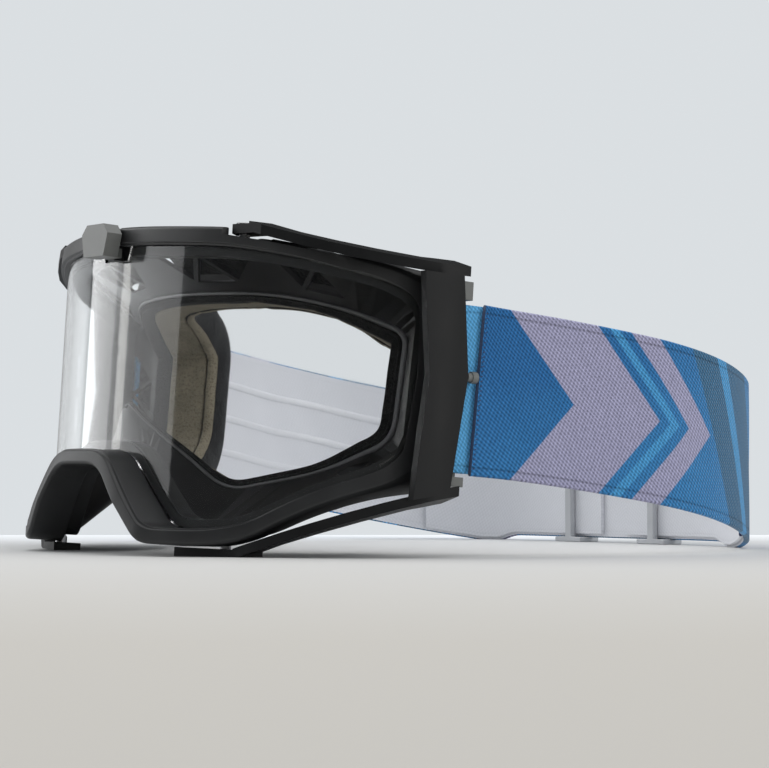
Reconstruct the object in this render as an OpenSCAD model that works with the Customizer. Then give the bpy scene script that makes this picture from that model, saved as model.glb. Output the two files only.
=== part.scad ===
// Motocross goggles: a rigid outer frame with a quick-change lens, a soft inner frame with
// face foam, hinged strap outriggers and an elastic strap with two adjusters.
// The goggles are drawn upright with the lens facing -Y, then leaned back to rest on a table.

/* [Frame front] */
// Radius of the rim's front between the temples, seen from above
rim_r = 105; // [104:0.5:106]
// Radius of the rim's sides, seen from above
side_r = 54.5; // [54.2:0.1:54.9]
// Height of the lens opening at its middle, above the mid line
crown_z = 37; // [36.2:0.1:38]
// Half width of the level part of the brow
brow_x = 46.5; // [44:0.5:49]
// Height of the lens opening at the ends of the brow
brow_z = 35.2; // [34.4:0.1:35.8]
// Half width where the top edge bends down to the temple
temple_x = 66.6; // [65:0.1:68]
// Height of the top edge at the temple bend
temple_z = 31.4; // [30.6:0.1:32]
// Half width of the lens opening
side_x = 81.6; // [81:0.1:82]
// Height of the upper side corner
side_top_z = 25.6; // [24:0.1:27]
// Depth of the lower side corner below the mid line
side_low_z = 22; // [20:0.1:23.5]
// Half width at the outer end of the level cheek edge
cheek_x = 50.2; // [48.5:0.1:51.5]
// Depth of the level cheek edge below the mid line
cheek_z = 41.2; // [40.2:0.1:41.8]
// Half width at the inner end of the cheek edge
leg_x = 31.5; // [30:0.1:33]
// Half width of the level top of the nose arch
nose_x = 13.2; // [12:0.1:14.5]
// Depth of the nose arch's upper edge below the mid line
nose_z = 20.6; // [19:0.1:22]
// Width of the rim along the brow
brow_w = 5.1; // [4.7:0.1:6]
// Width of the rim elsewhere
rim_w = 4.4; // [4.1:0.1:5]
// Width of the rim at its sides
side_w = 2.1; // [1.9:0.1:2.3]
// Depth of the rim's full width, in front of its narrower rear
rim_front = 3.5; // [3:0.1:4]
// Depth of the rim from its front face to its back
rim_d = 8.5; // [8:0.1:10]
// How far the nose arch stands in front of the rim
arch_proud = 5.5; // [4:0.5:7]
// Half width where the nose arch runs out into the rim
arch_x = 52; // [48:1:56]
// Forward tilt of the nose arch towards its legs, in degrees
arch_tilt = 10; // [6:0.5:12]
// Furthest that the rim's sides reach back from the front
side_depth = 56.4; // [56:0.1:56.6]
// Lean of the goggles on the table, in degrees
lean_deg = 4; // [3.5:0.1:4.5]

/* [Lens] */
// Thickness of the lens
lens_t = 1; // [0.8:0.1:1.3]
// How far the lens sits behind the rim's front face
lens_inset = 2.2; // [1.8:0.1:2.6]
// Gap between the lens and the rim
lens_gap = 0.3; // [0.2:0.05:0.5]
// Thickness of the seal behind the lens
seal_t = 0.6; // [0.4:0.1:0.9]
// Width of the ledge that carries the lens
ledge_w = 3; // [2.4:0.1:3.6]

/* [Inner frame and foam] */
// Radius of the face flange, seen from above
face_r = 77; // [75:0.5:79]
// Distance from the rim's front to the flange at its middle
face_y = 24; // [22:0.5:27]
// Wall of the inner frame
wall = 1.6; // [1.3:0.1:2]
// Width of the flange outside the wall
flange_w = 7; // [5:0.5:8]
// How far the nose bridge is drawn forwards
nose_pull = 14; // [10:0.5:15]
// Thickness of the firm foam layer
foam_base_t = 4; // [3.5:0.5:7]
// Thickness of the soft foam layer
foam_mid_t = 9; // [6:0.5:10]
// Thickness of the fleece layer
fleece_t = 4; // [3:0.5:5]
// How far the foam overhangs the flange inwards
foam_in = 3.4; // [3:0.1:4.5]
// Gap between glued layers
glue_gap = 0.1; // [0.05:0.05:0.2]

/* [Latch] */
// Width of the latch shield
clip_w = 14.2; // [12:0.2:16]
// How far the shield stands in front of the rim
clip_proud = 5.2; // [4:0.1:5.8]
// Radius of the latch pin
clip_pin_r = 0.8; // [0.6:0.05:1]
// Radius of the latch's knuckle
knuckle_r = 1.9; // [1.7:0.1:2.1]

/* [Outriggers] */
// Half distance between the outer faces of the two outriggers
plate_x = 88.8; // [88:0.2:91]
// Thickness of the side plate
plate_t = 2.4; // [2:0.1:2.6]
// Thickness of the upper and lower arms
arm_t = 2.6; // [2.2:0.1:3.2]
// Half distance between the two hinge axes
hinge_x = 45; // [44:0.5:46]
// Distance of the hinge axes behind the rim's front
hinge_y = 15.5; // [15:0.1:16]
// Radius of the hinge pins
hinge_r = 1.5; // [1.2:0.1:1.7]
// Running clearance of the hinge pins in the arms
hinge_run = 0.05; // [0.02:0.01:0.09]
// Gap between the arms and the rim at the hinges
arm_gap = 0.3; // [0.2:0.05:0.5]
// Thickness of the foot under the rim
foot_t = 2; // [1.7:0.1:2.4]
// Radius of the strap bar
bar_r = 1.5; // [1.2:0.1:1.7]
// Radius of the stud on the plate's rear edge
stud_r = 1.6; // [1.4:0.05:1.7]
// How far the stud stands behind the plate
stud_l = 3.2; // [2.4:0.1:3.4]

/* [Strap] */
// Width of the strap
strap_w = 45; // [44:0.5:46]
// Thickness of the elastic webbing
strap_t = 1.8; // [1.4:0.1:2]
// Thickness of the folded loop round the strap bar
loop_t = 1.1; // [0.8:0.1:1.2]
// Distance from the rim's front to the strap's rear
strap_rear = 190; // [180:1:200]
// Half width of the straight stretch at the rear
rear_half = 36; // [34:0.5:40]
// Width of an adjuster along the strap
slider_w = 13; // [11:0.5:15]
// Distance of an adjuster from the middle
slider_x = 20; // [18:0.5:22]
// Thickness of the adjuster's bars
slider_t = 2; // [1.6:0.1:2.4]
// Height of the adjuster's rails above and below the strap
rail_t = 1.6; // [1.4:0.1:2]
// Thickness of the doubled strap end
tail_t = 1.2; // [1:0.1:1.4]
// Distance of the strap's ends from the middle
tail_x = 6; // [4:0.5:8]
// Height of the silicone grip lines
grip_t = 0.4; // [0.3:0.05:0.6]

/* [Hidden] */

smooth = 180;
corner_steps = 4;
lens_back = lens_inset + lens_t;
ledge_in = lens_back + seal_t + 0.05;
// The front arc meets the side arcs at this angle, with no bend between them
joint_deg = 36;
side_centre = [(rim_r - side_r) * sin(joint_deg), rim_r - (rim_r - side_r) * cos(joint_deg)];
// Distance back to the surface that lies a given depth behind the rim's front
function depth_at(x, deep) = let (a = abs(x))
  a < (rim_r - deep) * sin(joint_deg) ? rim_r - sqrt(pow(rim_r - deep, 2) - a * a)
  : side_centre[1] - sqrt(max(pow(side_r - deep, 2) - pow(a - side_centre[0], 2), 0));
// Radius that brings the nose arch's front back to the rim at its ends
arch_end = rim_r - sqrt(rim_r * rim_r - arch_x * arch_x) + arch_proud;
arch_r = (arch_x * arch_x + arch_end * arch_end) / (2 * arch_end);
reach = 60;

// Right half of the lens opening, from the crown round to the nose, as half width and height
half_edge = [[brow_x, brow_z], [temple_x, temple_z], [side_x, side_top_z], [side_x - 0.8, -side_low_z],
  [cheek_x, -cheek_z], [leg_x, -cheek_z - 0.4], [nose_x, -nose_z]];
edge_points = concat([[0, crown_z]], half_edge, [[0, -nose_z + 0.2]],
  [for (i = [6:-1:0]) [-half_edge[i][0], half_edge[i][1]]]);
edge_setback = [18, 10, 8, 7, 7, 8, 4, 7, 3, 7, 4, 8, 7, 7, 8, 10];
edge_count = len(edge_points);
// Width of the rim outside each edge, starting with the edge right of the crown
half_width = [brow_w, brow_w, brow_w - 1.1, side_w, rim_w, rim_w, rim_w, rim_w];
edge_width = concat(half_width, [for (i = [7:-1:0]) half_width[i]]);
// The rim's rear is narrower, which leaves a seat for the arms
step_w = 1.95;
rear_width = [for (w = edge_width) max(w - step_w, side_w - 0.3)];

// Where the lean puts the goggles: the feet's rear half is cut level with the table
foot_z = -cheek_z - 0.4 - rim_w - arm_gap - foot_t;
rest_h = -foot_z * cos(lean_deg) + 14 * sin(lean_deg);

// Level of the strap at its bar and at the rear, in the table's frame
bar_y = 60.4;
bar_x = plate_x - plate_t - 3.4;
rail_gap = 0.25;
strap_start_z = rest_h - bar_y * sin(lean_deg) - strap_w / 2;

// The origin is under the middle of the whole object
clip_front = -clip_proud * cos(lean_deg) + 42.3 * sin(lean_deg);
arch_low = arch_proud + (rim_w - 0.2) * tan(arch_tilt);
arch_front = -arch_low * cos(lean_deg) - (nose_z - 0.2 + rim_w) * sin(lean_deg);
rear_end = strap_rear + strap_t / 2 + 0.3 + slider_t;
mid_y = (min(clip_front, arch_front) + rear_end) / 2;

function left_of(a, b) = [a[1] - b[1], b[0] - a[0]] / norm(b - a);

// Moves every edge of a clockwise outline outwards by its own width
function widened(points, widths) = [for (i = [0:len(points) - 1])
  let (n = len(points), m = left_of(points[(i + n - 1) % n], points[i]),
    k = left_of(points[i], points[(i + 1) % n]), c = m * k,
    v = widths[(i + n - 1) % n], w = widths[i], s = max(1 - c * c, 0.000001))
  c > 0.9999 ? points[i] + w * k : points[i] + ((v - w * c) * m + (w - v * c) * k) / s];

// A corner as a parabola that leaves each edge at the setback
function corner(a, b, c, s, steps) = let (p = b + (a - b) / norm(a - b) * s, q = b + (c - b) / norm(c - b) * s)
  [for (k = [0:steps]) let (t = k / steps) (1 - t) * (1 - t) * p + 2 * t * (1 - t) * b + t * t * q];

// No corner takes more than its share of an edge
function held(a, b, c, s) = min(s, 0.47 * norm(b - a), 0.47 * norm(c - b));
function rounded(points, setbacks) = let (n = len(points)) [for (i = [0:n - 1])
  let (a = points[(i + n - 1) % n], b = points[i], c = points[(i + 1) % n])
  each corner(a, b, c, held(a, b, c, setbacks[i]), corner_steps)];

function same_width(w) = [for (i = [0:edge_count - 1]) w];
function outline(w) = rounded(widened(edge_points, same_width(w)), edge_setback);
function rim_outline() = rounded(widened(edge_points, edge_width), edge_setback);
function rear_outline() = rounded(widened(edge_points, rear_width), edge_setback);

module lean() {
  translate([0, -mid_y, rest_h]) rotate([-lean_deg, 0, 0]) children();
}

// A front view drawn in X and Z, carried backwards
module front_prism(from, to) {
  translate([0, to, 0]) rotate([90, 0, 0]) linear_extrude(to - from) children();
}

// A side view drawn in Y and Z, carried along X
module side_prism(from, to) {
  translate([from, 0, 0]) rotate([90, 0, 90]) linear_extrude(to - from) children();
}

// One arc of the rim's curve, between two depths behind the rim's front
module arc_shell(centre, radius, near, deep, sector) {
  translate([0, 0, -reach]) intersection() {
    translate([centre[0], centre[1], 0]) difference() {
      cylinder(r = radius - near, h = 2 * reach, $fn = smooth);
      translate([0, 0, -1]) cylinder(r = radius - deep, h = 2 * reach + 2, $fn = smooth);
    }
    linear_extrude(2 * reach) polygon(sector);
  }
}

// The rim's curve seen from above: a wide front arc and two tighter side arcs
module shell(near, deep) {
  way = 200 * [sin(joint_deg), -cos(joint_deg)];
  arc_shell([0, rim_r], rim_r, near, deep, [[0, rim_r], [-way[0], rim_r + way[1]], [way[0], rim_r + way[1]]]);
  for (side = [0, 1]) mirror([side, 0, 0]) arc_shell(side_centre, side_r, near, deep,
    [side_centre, side_centre + way, [side_centre[0] + 200, side_centre[1] + way[1]], [side_centre[0] + 200, side_centre[1]]]);
}

// Stations round the frame: each corner's points, then points along the edge after it
edge_parts = [7, 4, 3, 7, 5, 2, 4, 2, 2, 4, 2, 5, 7, 3, 4, 7];
function stations(points, setbacks) = let (n = len(points)) [for (i = [0:n - 1])
  let (a = points[(i + n - 1) % n], b = points[i], c = points[(i + 1) % n], d = points[(i + 2) % n],
    s = held(a, b, c, setbacks[i]), p = b + (c - b) / norm(c - b) * s,
    q = c + (b - c) / norm(b - c) * held(b, c, d, setbacks[(i + 1) % n]))
  each concat(corner(a, b, c, s, corner_steps), [for (k = [1:1:edge_parts[i] - 1]) p + (q - p) * k / edge_parts[i]])];

// The flange's inner edge on the face side, as distance round the flange and height
half_face = [[38, 26], [62, 21.5], [76.8, 16.5], [74.5, -15.5], [54, -25], [26, -31], [8.5, -14]];
face_points = concat([[0, 26.5]], half_face, [[0, -6.5]], [for (i = [6:-1:0]) [-half_face[i][0], half_face[i][1]]]);
face_setback = [14, 12, 8, 5.5, 7, 9, 7, 4, 2.5, 4, 7, 9, 7, 5.5, 8, 12];
face_ring = stations(face_points, face_setback);
ring_count = len(face_ring);
face_normal = [for (i = [0:ring_count - 1])
  left_of(face_ring[(i + ring_count - 1) % ring_count], face_ring[(i + 1) % ring_count])];
// The foam ring is narrower round the nose and wider inwards at the sides
function smooth_step(v, low, high) = let (u = min(max((v - low) / (high - low), 0), 1)) u * u * (3 - 2 * u);
function near_side(i) = smooth_step(abs(face_ring[i][0]), 50, 72);
function near_nose(i) = let (p = face_ring[i]) p[1] < 10 ? exp(-pow(p[0] / 20, 2)) : 0;
// Beside the nose the foam is thinner and slopes down, and it is thicker at the sides
function nose_slope(p) = p[1] < 6 ? 1 - smooth_step(abs(p[0]), 14, 34) : 0;
function foam_depth(p, d) = d < 0 ? d : d * (1 - 0.5 * nose_slope(p)) * (1 + 0.25 * smooth_step(abs(p[0]), 36, 66));
function face_place(p, d) = let (turn = p[0] / face_r * 180 / PI, r = face_r - foam_depth(p, d),
    pull = p[1] < 10 ? nose_pull * exp(-pow(p[0] / 18, 2)) : 0)
  [r * sin(turn), face_y + face_r - r * cos(turn) - pull, p[1] - 0.38 * max(d, 0) * nose_slope(p)];
function ring_shift(i, o) = o > 0 ? o * (1 - 0.5 * near_nose(i)) : o * (1 + 0.6 * near_side(i)) * (1 - 0.6 * near_nose(i));
function face_at(i, o, d) = face_place(face_ring[i] + face_normal[i] * ring_shift(i, o), d);

// The wall starts just behind the rim, and a little further behind its corners
function front_place(p) = let (more = 0.6 * min(max((abs(p[0]) - 64) / 6, 0), 1))
  [p[0], min(depth_at(p[0], rim_d + 0.07 + more), side_depth + 0.05), p[1]];
function front_ring(w) = [for (p = stations(widened(edge_points, same_width(w)), edge_setback)) front_place(p)];
wall_out = 1.2;
wall_outer = front_ring(wall_out);
wall_inner = front_ring(wall_out - wall);

// A closed ring of stations, each a closed loop of the same number of points
module ring_solid(rows) {
  n = len(rows);
  k = len(rows[0]);
  polyhedron([for (r = rows) each r], [for (i = [0:n - 1]) for (j = [0:k - 1])
    let (a = i * k + j, b = i * k + (j + 1) % k, c = ((i + 1) % n) * k + j, d = ((i + 1) % n) * k + (j + 1) % k)
    each [[a, b, d], [a, d, c]]]);
}

// An open run of stations, closed by a flat face at each end
module strip_solid(rows) {
  n = len(rows);
  k = len(rows[0]);
  polyhedron([for (r = rows) each r], concat([for (i = [0:n - 2]) for (j = [0:k - 1])
    let (a = i * k + j, b = i * k + (j + 1) % k, c = (i + 1) * k + j, d = (i + 1) * k + (j + 1) % k)
    each [[a, b, d], [a, d, c]]], [[for (j = [k - 1:-1:0]) j]], [[for (j = [0:k - 1]) (n - 1) * k + j]]));
}

notch_half = 4.3;
clip_hinge = [5, 39.6];

// Seen from above, the nose arch runs out into the rim's curve at both ends
half_plan = [[arch_x * 0.58, -4], [arch_x * 0.77, 1], [arch_x * 0.92, 8.3], [arch_x + 3, 15.7]];
function arch_plan() = concat([[0, -12]], half_plan, [[arch_x + 3, 30], [-arch_x - 3, 30]],
  [for (i = [3:-1:0]) [-half_plan[i][0], half_plan[i][1]]]);

module outer_frame() {
  color([0.17, 0.17, 0.18]) lean() difference() {
    union() {
      // Band round the lens, at its full width in front
      intersection() {
        shell(0, rim_front);
        front_prism(-20, side_depth - 1) polygon(rim_outline());
      }
      intersection() {
        shell(rim_front - 1, rim_d);
        front_prism(-20, side_depth) polygon(rear_outline());
      }
      // Nose arch, which stands in front of the rim and runs out into it
      intersection() {
        difference() {
          translate([0, arch_r - arch_proud, -nose_z]) rotate([-arch_tilt, 0, 0]) translate([0, 0, -reach])
            cylinder(r = arch_r, h = reach + 12, $fn = smooth);
          translate([0, rim_r, -reach - 1]) cylinder(r = rim_r - rim_front + 0.5, h = 2 * reach, $fn = smooth);
        }
        front_prism(-20, 30) polygon(rim_outline());
        translate([0, 0, -reach]) linear_extrude(2 * reach) polygon(arch_plan());
      }
    }
    // The lens opening in front of the ledge, and the clear opening through it
    intersection() {
      shell(-20, ledge_in);
      front_prism(-30, side_depth + 10) polygon(outline(0));
    }
    front_prism(-30, side_depth + 10) polygon(outline(-ledge_w));
    // Seats of the upper arms
    for (side = [0, 1]) mirror([side, 0, 0]) arm_seat();
    // Pocket for the latch
    translate([-notch_half, -2, crown_z - 6]) cube([2 * notch_half, clip_hinge[0] + knuckle_r + 0.4 + 2, 20]);
    translate([-clip_w / 2 + 0.4, clip_hinge[0], clip_hinge[1]]) rotate([0, 90, 0])
      cylinder(r = clip_pin_r, h = clip_w - 0.8, $fn = 48);
    // Blind bores of the four hinge pins
    for (side = [-1, 1]) {
      translate([side * hinge_x, hinge_y, brow_z + 0.8]) cylinder(r = hinge_r, h = 20, $fn = 48);
      translate([side * hinge_x, hinge_y, -cheek_z - 0.8 - 20]) cylinder(r = hinge_r, h = 20, $fn = 48);
    }
  }
}

// A place on the inner frame's wall: edge number, share along it, share from front to rear
function wall_spot(e, f, v, out) = let (n = edge_count,
    a = widened(edge_points, same_width(wall_out - wall / 2)), p = a[e] * (1 - f) + a[(e + 1) % n] * f,
    q = face_points[e] * (1 - f) + face_points[(e + 1) % n] * f, along = edge_points[(e + 1) % n] - edge_points[e],
    start = front_place(p), end = face_place(q, -0.8), way = cross([along[0], 0, along[1]], end - start))
  start * (1 - v) + end * v + out * way / norm(way);

// A triangular opening through the wall
module vent(e, f0, v0, f1, v1, f2, v2) {
  low = [wall_spot(e, f0, v0, -4), wall_spot(e, f1, v1, -4), wall_spot(e, f2, v2, -4)];
  high = [wall_spot(e, f0, v0, 4), wall_spot(e, f1, v1, 4), wall_spot(e, f2, v2, 4)];
  polyhedron(concat(low, high), [[0, 1, 2], [5, 4, 3], [0, 3, 4], [0, 4, 1], [1, 4, 5], [1, 5, 2], [2, 5, 3], [2, 3, 0]]);
}

// A row of vents that point forwards and backwards in turn
module vent_row(e, count, from, to) {
  step = (to - from) / (count + 1);
  for (k = [0:count - 1]) {
    f = from + k * step;
    gap = 0.12 * step;
    if (k % 2 == 0) vent(e, f + gap, 0.16, f + 2 * step - gap, 0.16, f + step, 0.74);
    else vent(e, f + 2 * step - gap, 0.8, f + gap, 0.8, f + step, 0.22);
  }
}

module inner_frame() {
  color([0.13, 0.13, 0.14]) lean() difference() {
    ring_solid([for (i = [0:ring_count - 1]) [wall_outer[i], face_at(i, 1.2, -wall), face_at(i, flange_w, -wall),
      face_at(i, flange_w, 0), face_at(i, -1, 0), wall_inner[i]]]);
    for (side = [0, 1]) mirror([side, 0, 0]) {
      vent_row(0, 3, 0.12, 0.95);
      vent_row(1, 2, 0.12, 0.9);
      vent_row(3, 3, 0.2, 0.8);
      vent_row(4, 3, 0.14, 0.86);
    }
  }
}

// Foam behind the vents, as a skin outside the wall that starts at a share of its depth
module vent_foam(first, last, share, thick) {
  strip_solid([for (i = [first:last]) let (o = wall_outer[i], r = face_at(i, 1.2, -wall),
      out = cross(wall_outer[i + 1] - wall_outer[i - 1], r - o), way = out / norm(out),
      a = o * (1 - share) + r * share, b = o * 0.2 + r * 0.8)
    [a + 0.75 * way, b + 0.75 * way, b + thick * way, a + thick * way]]);
}

// Number of the first station of each edge's corner
function first_of(e) = e == 0 ? 0 : first_of(e - 1) + corner_steps + edge_parts[e - 1];

module vent_foam_top() {
  color([0.2, 0.2, 0.2]) lean() for (side = [0, 1]) mirror([side, 0, 0])
    vent_foam(first_of(0) + 3, first_of(2) + 3, 0.14, 2.1);
}

module vent_foam_side() {
  color([0.2, 0.2, 0.2]) lean() for (side = [0, 1]) mirror([side, 0, 0])
    vent_foam(first_of(3) + 4, first_of(4), 0.3, 1.7);
}

module vent_foam_lower() {
  color([0.2, 0.2, 0.2]) lean() for (side = [0, 1]) mirror([side, 0, 0])
    vent_foam(first_of(4) + 5, first_of(5), 0.14, 2.2);
}

module lens() {
  color([0.85, 0.9, 0.92, 0.3]) lean() difference() {
    intersection() {
      shell(lens_inset, lens_back);
      front_prism(-20, side_depth) polygon(outline(-lens_gap));
    }
    // Notch that clears the latch
    translate([-clip_w / 2 - 0.4, -5, clip_low - 0.6]) cube([clip_w + 0.8, 20, 20]);
  }
}
clip_low = 33.2;

module lens_seal() {
  color([0.08, 0.08, 0.08]) lean() difference() {
    intersection() {
      shell(lens_back + 0.05, ledge_in - 0.05);
      front_prism(-20, side_depth) polygon(outline(-lens_gap - 0.2));
    }
    front_prism(-30, side_depth + 10) polygon(outline(-ledge_w + 0.3));
    translate([-clip_w / 2 - 0.4, -5, clip_low - 0.6]) cube([clip_w + 0.8, 20, 20]);
  }
}

foam_out = 8;
module foam_base() {
  color([0.25, 0.24, 0.23]) lean() ring_solid([for (i = [0:ring_count - 1]) [
    face_at(i, -foam_in, glue_gap), face_at(i, foam_out, glue_gap),
    face_at(i, foam_out, foam_base_t), face_at(i, -foam_in, foam_base_t)]]);
}

module foam_middle() {
  near = foam_base_t + glue_gap;
  far = foam_base_t + foam_mid_t;
  color([0.55, 0.52, 0.46]) lean() ring_solid([for (i = [0:ring_count - 1]) [
    face_at(i, -foam_in, near), face_at(i, foam_out, near), face_at(i, foam_out, far), face_at(i, -foam_in, far)]]);
}

// The fleece is crowned towards the face, with drawn-in sides
module foam_fleece() {
  near = foam_base_t + foam_mid_t + glue_gap;
  far = near + fleece_t;
  color([0.3, 0.3, 0.3]) lean() ring_solid([for (i = [0:ring_count - 1]) [
    face_at(i, -foam_in, near), face_at(i, foam_out, near), face_at(i, foam_out + 0.5, near + 0.3 * fleece_t),
    face_at(i, foam_out - 1.5, near + 0.8 * fleece_t), face_at(i, (foam_out - foam_in) / 2, far),
    face_at(i, 1.5 - foam_in, near + 0.8 * fleece_t), face_at(i, -foam_in - 0.5, near + 0.3 * fleece_t)]]);
}

module latch_clip() {
  tall = 42.3;
  color([0.58, 0.58, 0.56]) lean() difference() {
    union() {
      // Shield in front of the rim
      front_prism(-clip_proud, -0.5) polygon([[-0.32 * clip_w, tall], [0.32 * clip_w, tall],
        [clip_w / 2, 39.6], [0.38 * clip_w, clip_low], [-0.38 * clip_w, clip_low], [-clip_w / 2, 39.6]]);
      // Arm back to the knuckle, and the knuckle
      translate([-notch_half + 0.3, -0.7, clip_hinge[1] - 0.6]) cube([2 * notch_half - 0.6, clip_hinge[0] + 0.7, 2.5]);
      translate([-notch_half + 0.3, clip_hinge[0], clip_hinge[1]]) rotate([0, 90, 0])
        cylinder(r = knuckle_r, h = 2 * notch_half - 0.6, $fn = 48);
      // Tongue under the rim
      translate([-notch_half + 0.7, -0.7, clip_low + 0.2]) cube([2 * notch_half - 1.4, 2.6, 2.6]);
    }
    translate([-notch_half, clip_hinge[0], clip_hinge[1]]) rotate([0, 90, 0])
      cylinder(r = clip_pin_r + hinge_run, h = 2 * notch_half, $fn = 48);
  }
}

module latch_pin() {
  color([0.6, 0.6, 0.62]) lean() translate([-clip_w / 2 + 0.5, clip_hinge[0], clip_hinge[1]]) rotate([0, 90, 0])
    cylinder(r = clip_pin_r, h = clip_w - 1, $fn = 48);
}

// A point at an angle round the rim's curve, and a distance in front of it
function rim_spot(angle, proud) = angle < joint_deg
  ? [(rim_r + proud) * sin(angle), rim_r - (rim_r + proud) * cos(angle)]
  : side_centre + (side_r + proud) * [sin(angle), -cos(angle)];
// The arms seen from above, for the wearer's left side, and the rear of the plate's ends
arm_end = 59.6;
arm_front = [rim_spot(31, 0.6), rim_spot(38, 2), rim_spot(46, 3.2), rim_spot(55, 4.3), rim_spot(65, 5.2)];
function arm_rear(more) = [rim_spot(73, -0.8 - more), rim_spot(60, -2.2 - more), rim_spot(48, -3.2 - more), rim_spot(37, -3.9 - more)];
arm_plan = concat([[hinge_x - 1, hinge_y - 3.4]], arm_front, [[plate_x - 0.5, 49.5], [plate_x, 52],
  [plate_x, arm_end], [plate_x - 7.6, arm_end], [plate_x - 8, 53]], arm_rear(0),
  [[hinge_x + 2.5, hinge_y + 4.6], [hinge_x - 2.5, hinge_y + 3.6], [hinge_x - 4, hinge_y]]);
// The foot seen from above
foot_plan = [[33, 6.8], [40, 9.4], [51, 13.4], [60, 17.4], [60, 25], [53, 21], [hinge_x + 2, hinge_y + 4.6],
  [39, 18], [32, 15]];
slope = 0.269;
top_z = brow_z + brow_w - step_w + 0.05 + arm_gap;
low_z = -cheek_z - 0.4 - rim_w - arm_gap;

// A level slab, tipped down towards the side and up or down to the rear
module arm_slab(z, across, along, thick) {
  translate([52, 14, z]) rotate([atan(along), atan(across), 0]) translate([-40, -40, 0]) cube([100, 120, thick]);
}

// The space of the upper arm from a height upwards, with a level pad over the hinge
module arm_space(z, thick) {
  intersection() {
    arm_slab(z, slope, 0.02, thick);
    translate([50, -10, -reach]) cube([60, 90, 2 * reach]);
  }
  translate([30, -10, z]) cube([22, 60, thick]);
}

// What the rim gives up for the upper arm
module arm_seat() {
  gap = 0.5;
  seat = concat([[hinge_x - 4.6, -5], [84, -5]], arm_rear(gap),
    [[hinge_x + 2.5, hinge_y + 4.6 + gap], [hinge_x - 4.6, hinge_y + 4.6]]);
  intersection() {
    translate([0, 0, -reach]) linear_extrude(2 * reach) polygon(seat);
    arm_space(top_z - arm_gap, 20);
  }
}

// Distance of the plate's rear corner from the front
plate_rear = 60.6;
module plate_outline() {
  // Chevron of the side plate, as distance from the front and height
  polygon([[44.6, 31], [46.2, 15], [47.8, 2.5], [46.2, -12], [44.6, -30.8], [56.4, -28.4], [58.4, -14], [plate_rear, 3],
    [59, 18], [57.4, 31]]);
}

module outrigger() {
  difference() {
    union() {
      // Upper arm, with a level pad over the hinge
      intersection() {
        translate([0, 0, -reach]) linear_extrude(2 * reach) polygon(arm_plan);
        arm_space(top_z, arm_t);
      }
      // Lower arm
      intersection() {
        translate([0, 0, -reach]) linear_extrude(2 * reach) polygon(arm_plan);
        arm_slab(low_z - arm_t + 0.4, -slope, 0.207, arm_t);
        translate([51, -10, -reach]) cube([60, 90, 2 * reach]);
      }
      // Foot under the rim, which carries the lower hinge
      translate([0, 0, low_z - foot_t - 1]) linear_extrude(foot_t + 1) intersection() {
        polygon(foot_plan);
        translate([30, 0]) square([24, 40]);
      }
      // Side plate between the arms
      intersection() {
        side_prism(plate_x - plate_t, plate_x) plate_outline();
        arm_span();
      }
    }
    translate([hinge_x, hinge_y, top_z - 1]) cylinder(r = hinge_r + hinge_run, h = arm_t + 2, $fn = 48);
    translate([hinge_x, hinge_y, low_z - foot_t - 2]) cylinder(r = hinge_r + hinge_run, h = foot_t + 3, $fn = 48);
    // Level underside that rests on the table
    rotate([lean_deg, 0, 0]) translate([0, -20, -rest_h - 20]) cube([120, 120, 20]);
  }
}

// The space between the upper arm's top and the lower arm's bottom
module arm_span() {
  rise = slope * (plate_x - 52);
  translate([80, 40, low_z + rise + 2]) cube([20, 25, top_z - low_z - 2 * rise - 1]);
}

module outrigger_left() { color([0.18, 0.18, 0.19]) lean() outrigger(); }
module outrigger_right() { color([0.18, 0.18, 0.19]) lean() mirror([1, 0, 0]) outrigger(); }

module hinge_pin_upper() {
  translate([hinge_x, hinge_y, brow_z + 1]) cylinder(r = hinge_r, h = top_z + arm_t - brow_z - 1, $fn = 48);
  translate([hinge_x, hinge_y, top_z + arm_t + 0.1]) cylinder(r = hinge_r + 0.9, h = 0.4, $fn = 48);
  translate([hinge_x, hinge_y, top_z + arm_t - 0.1]) cylinder(r = hinge_r, h = 0.3, $fn = 48);
}

module hinge_pin_lower() {
  translate([hinge_x, hinge_y, low_z - foot_t + 0.8]) cylinder(r = hinge_r, h = foot_t + arm_gap + rim_w - 1.2, $fn = 48);
}

module hinge_pin_upper_left() { color([0.5, 0.5, 0.5]) lean() hinge_pin_upper(); }
module hinge_pin_upper_right() { color([0.5, 0.5, 0.5]) lean() mirror([1, 0, 0]) hinge_pin_upper(); }
module hinge_pin_lower_left() { color([0.5, 0.5, 0.5]) lean() hinge_pin_lower(); }
module hinge_pin_lower_right() { color([0.5, 0.5, 0.5]) lean() mirror([1, 0, 0]) hinge_pin_lower(); }

// Bar with a block at each end, which the strap's loop goes round
module strap_bar() {
  high = strap_w / 2 + 1.2;
  translate([bar_x, bar_y, -high - 1]) cylinder(r = bar_r, h = 2 * high + 2, $fn = 48);
  for (end = [0, 1]) mirror([0, 0, end]) translate([bar_x - 2, bar_y - 2.6, high])
    cube([plate_x - plate_t - 0.05 - bar_x + 2, 4.8, end == 0 ? 5 : 2.6]);
}

module strap_bar_left() { color([0.62, 0.63, 0.62]) lean() strap_bar(); }
module strap_bar_right() { color([0.62, 0.63, 0.62]) lean() mirror([1, 0, 0]) strap_bar(); }

module lock_stud() {
  translate([plate_x - 1, plate_rear + 0.05, 3]) rotate([-90, 0, 0]) {
    cylinder(r = stud_r - 0.4, h = stud_l, $fn = 48);
    translate([0, 0, stud_l * 0.4]) cylinder(r = stud_r, h = stud_l * 0.6, $fn = 48);
  }
}

module lock_stud_left() { color([0.6, 0.6, 0.58]) lean() lock_stud(); }
module lock_stud_right() { color([0.6, 0.6, 0.58]) lean() mirror([1, 0, 0]) lock_stud(); }

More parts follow.
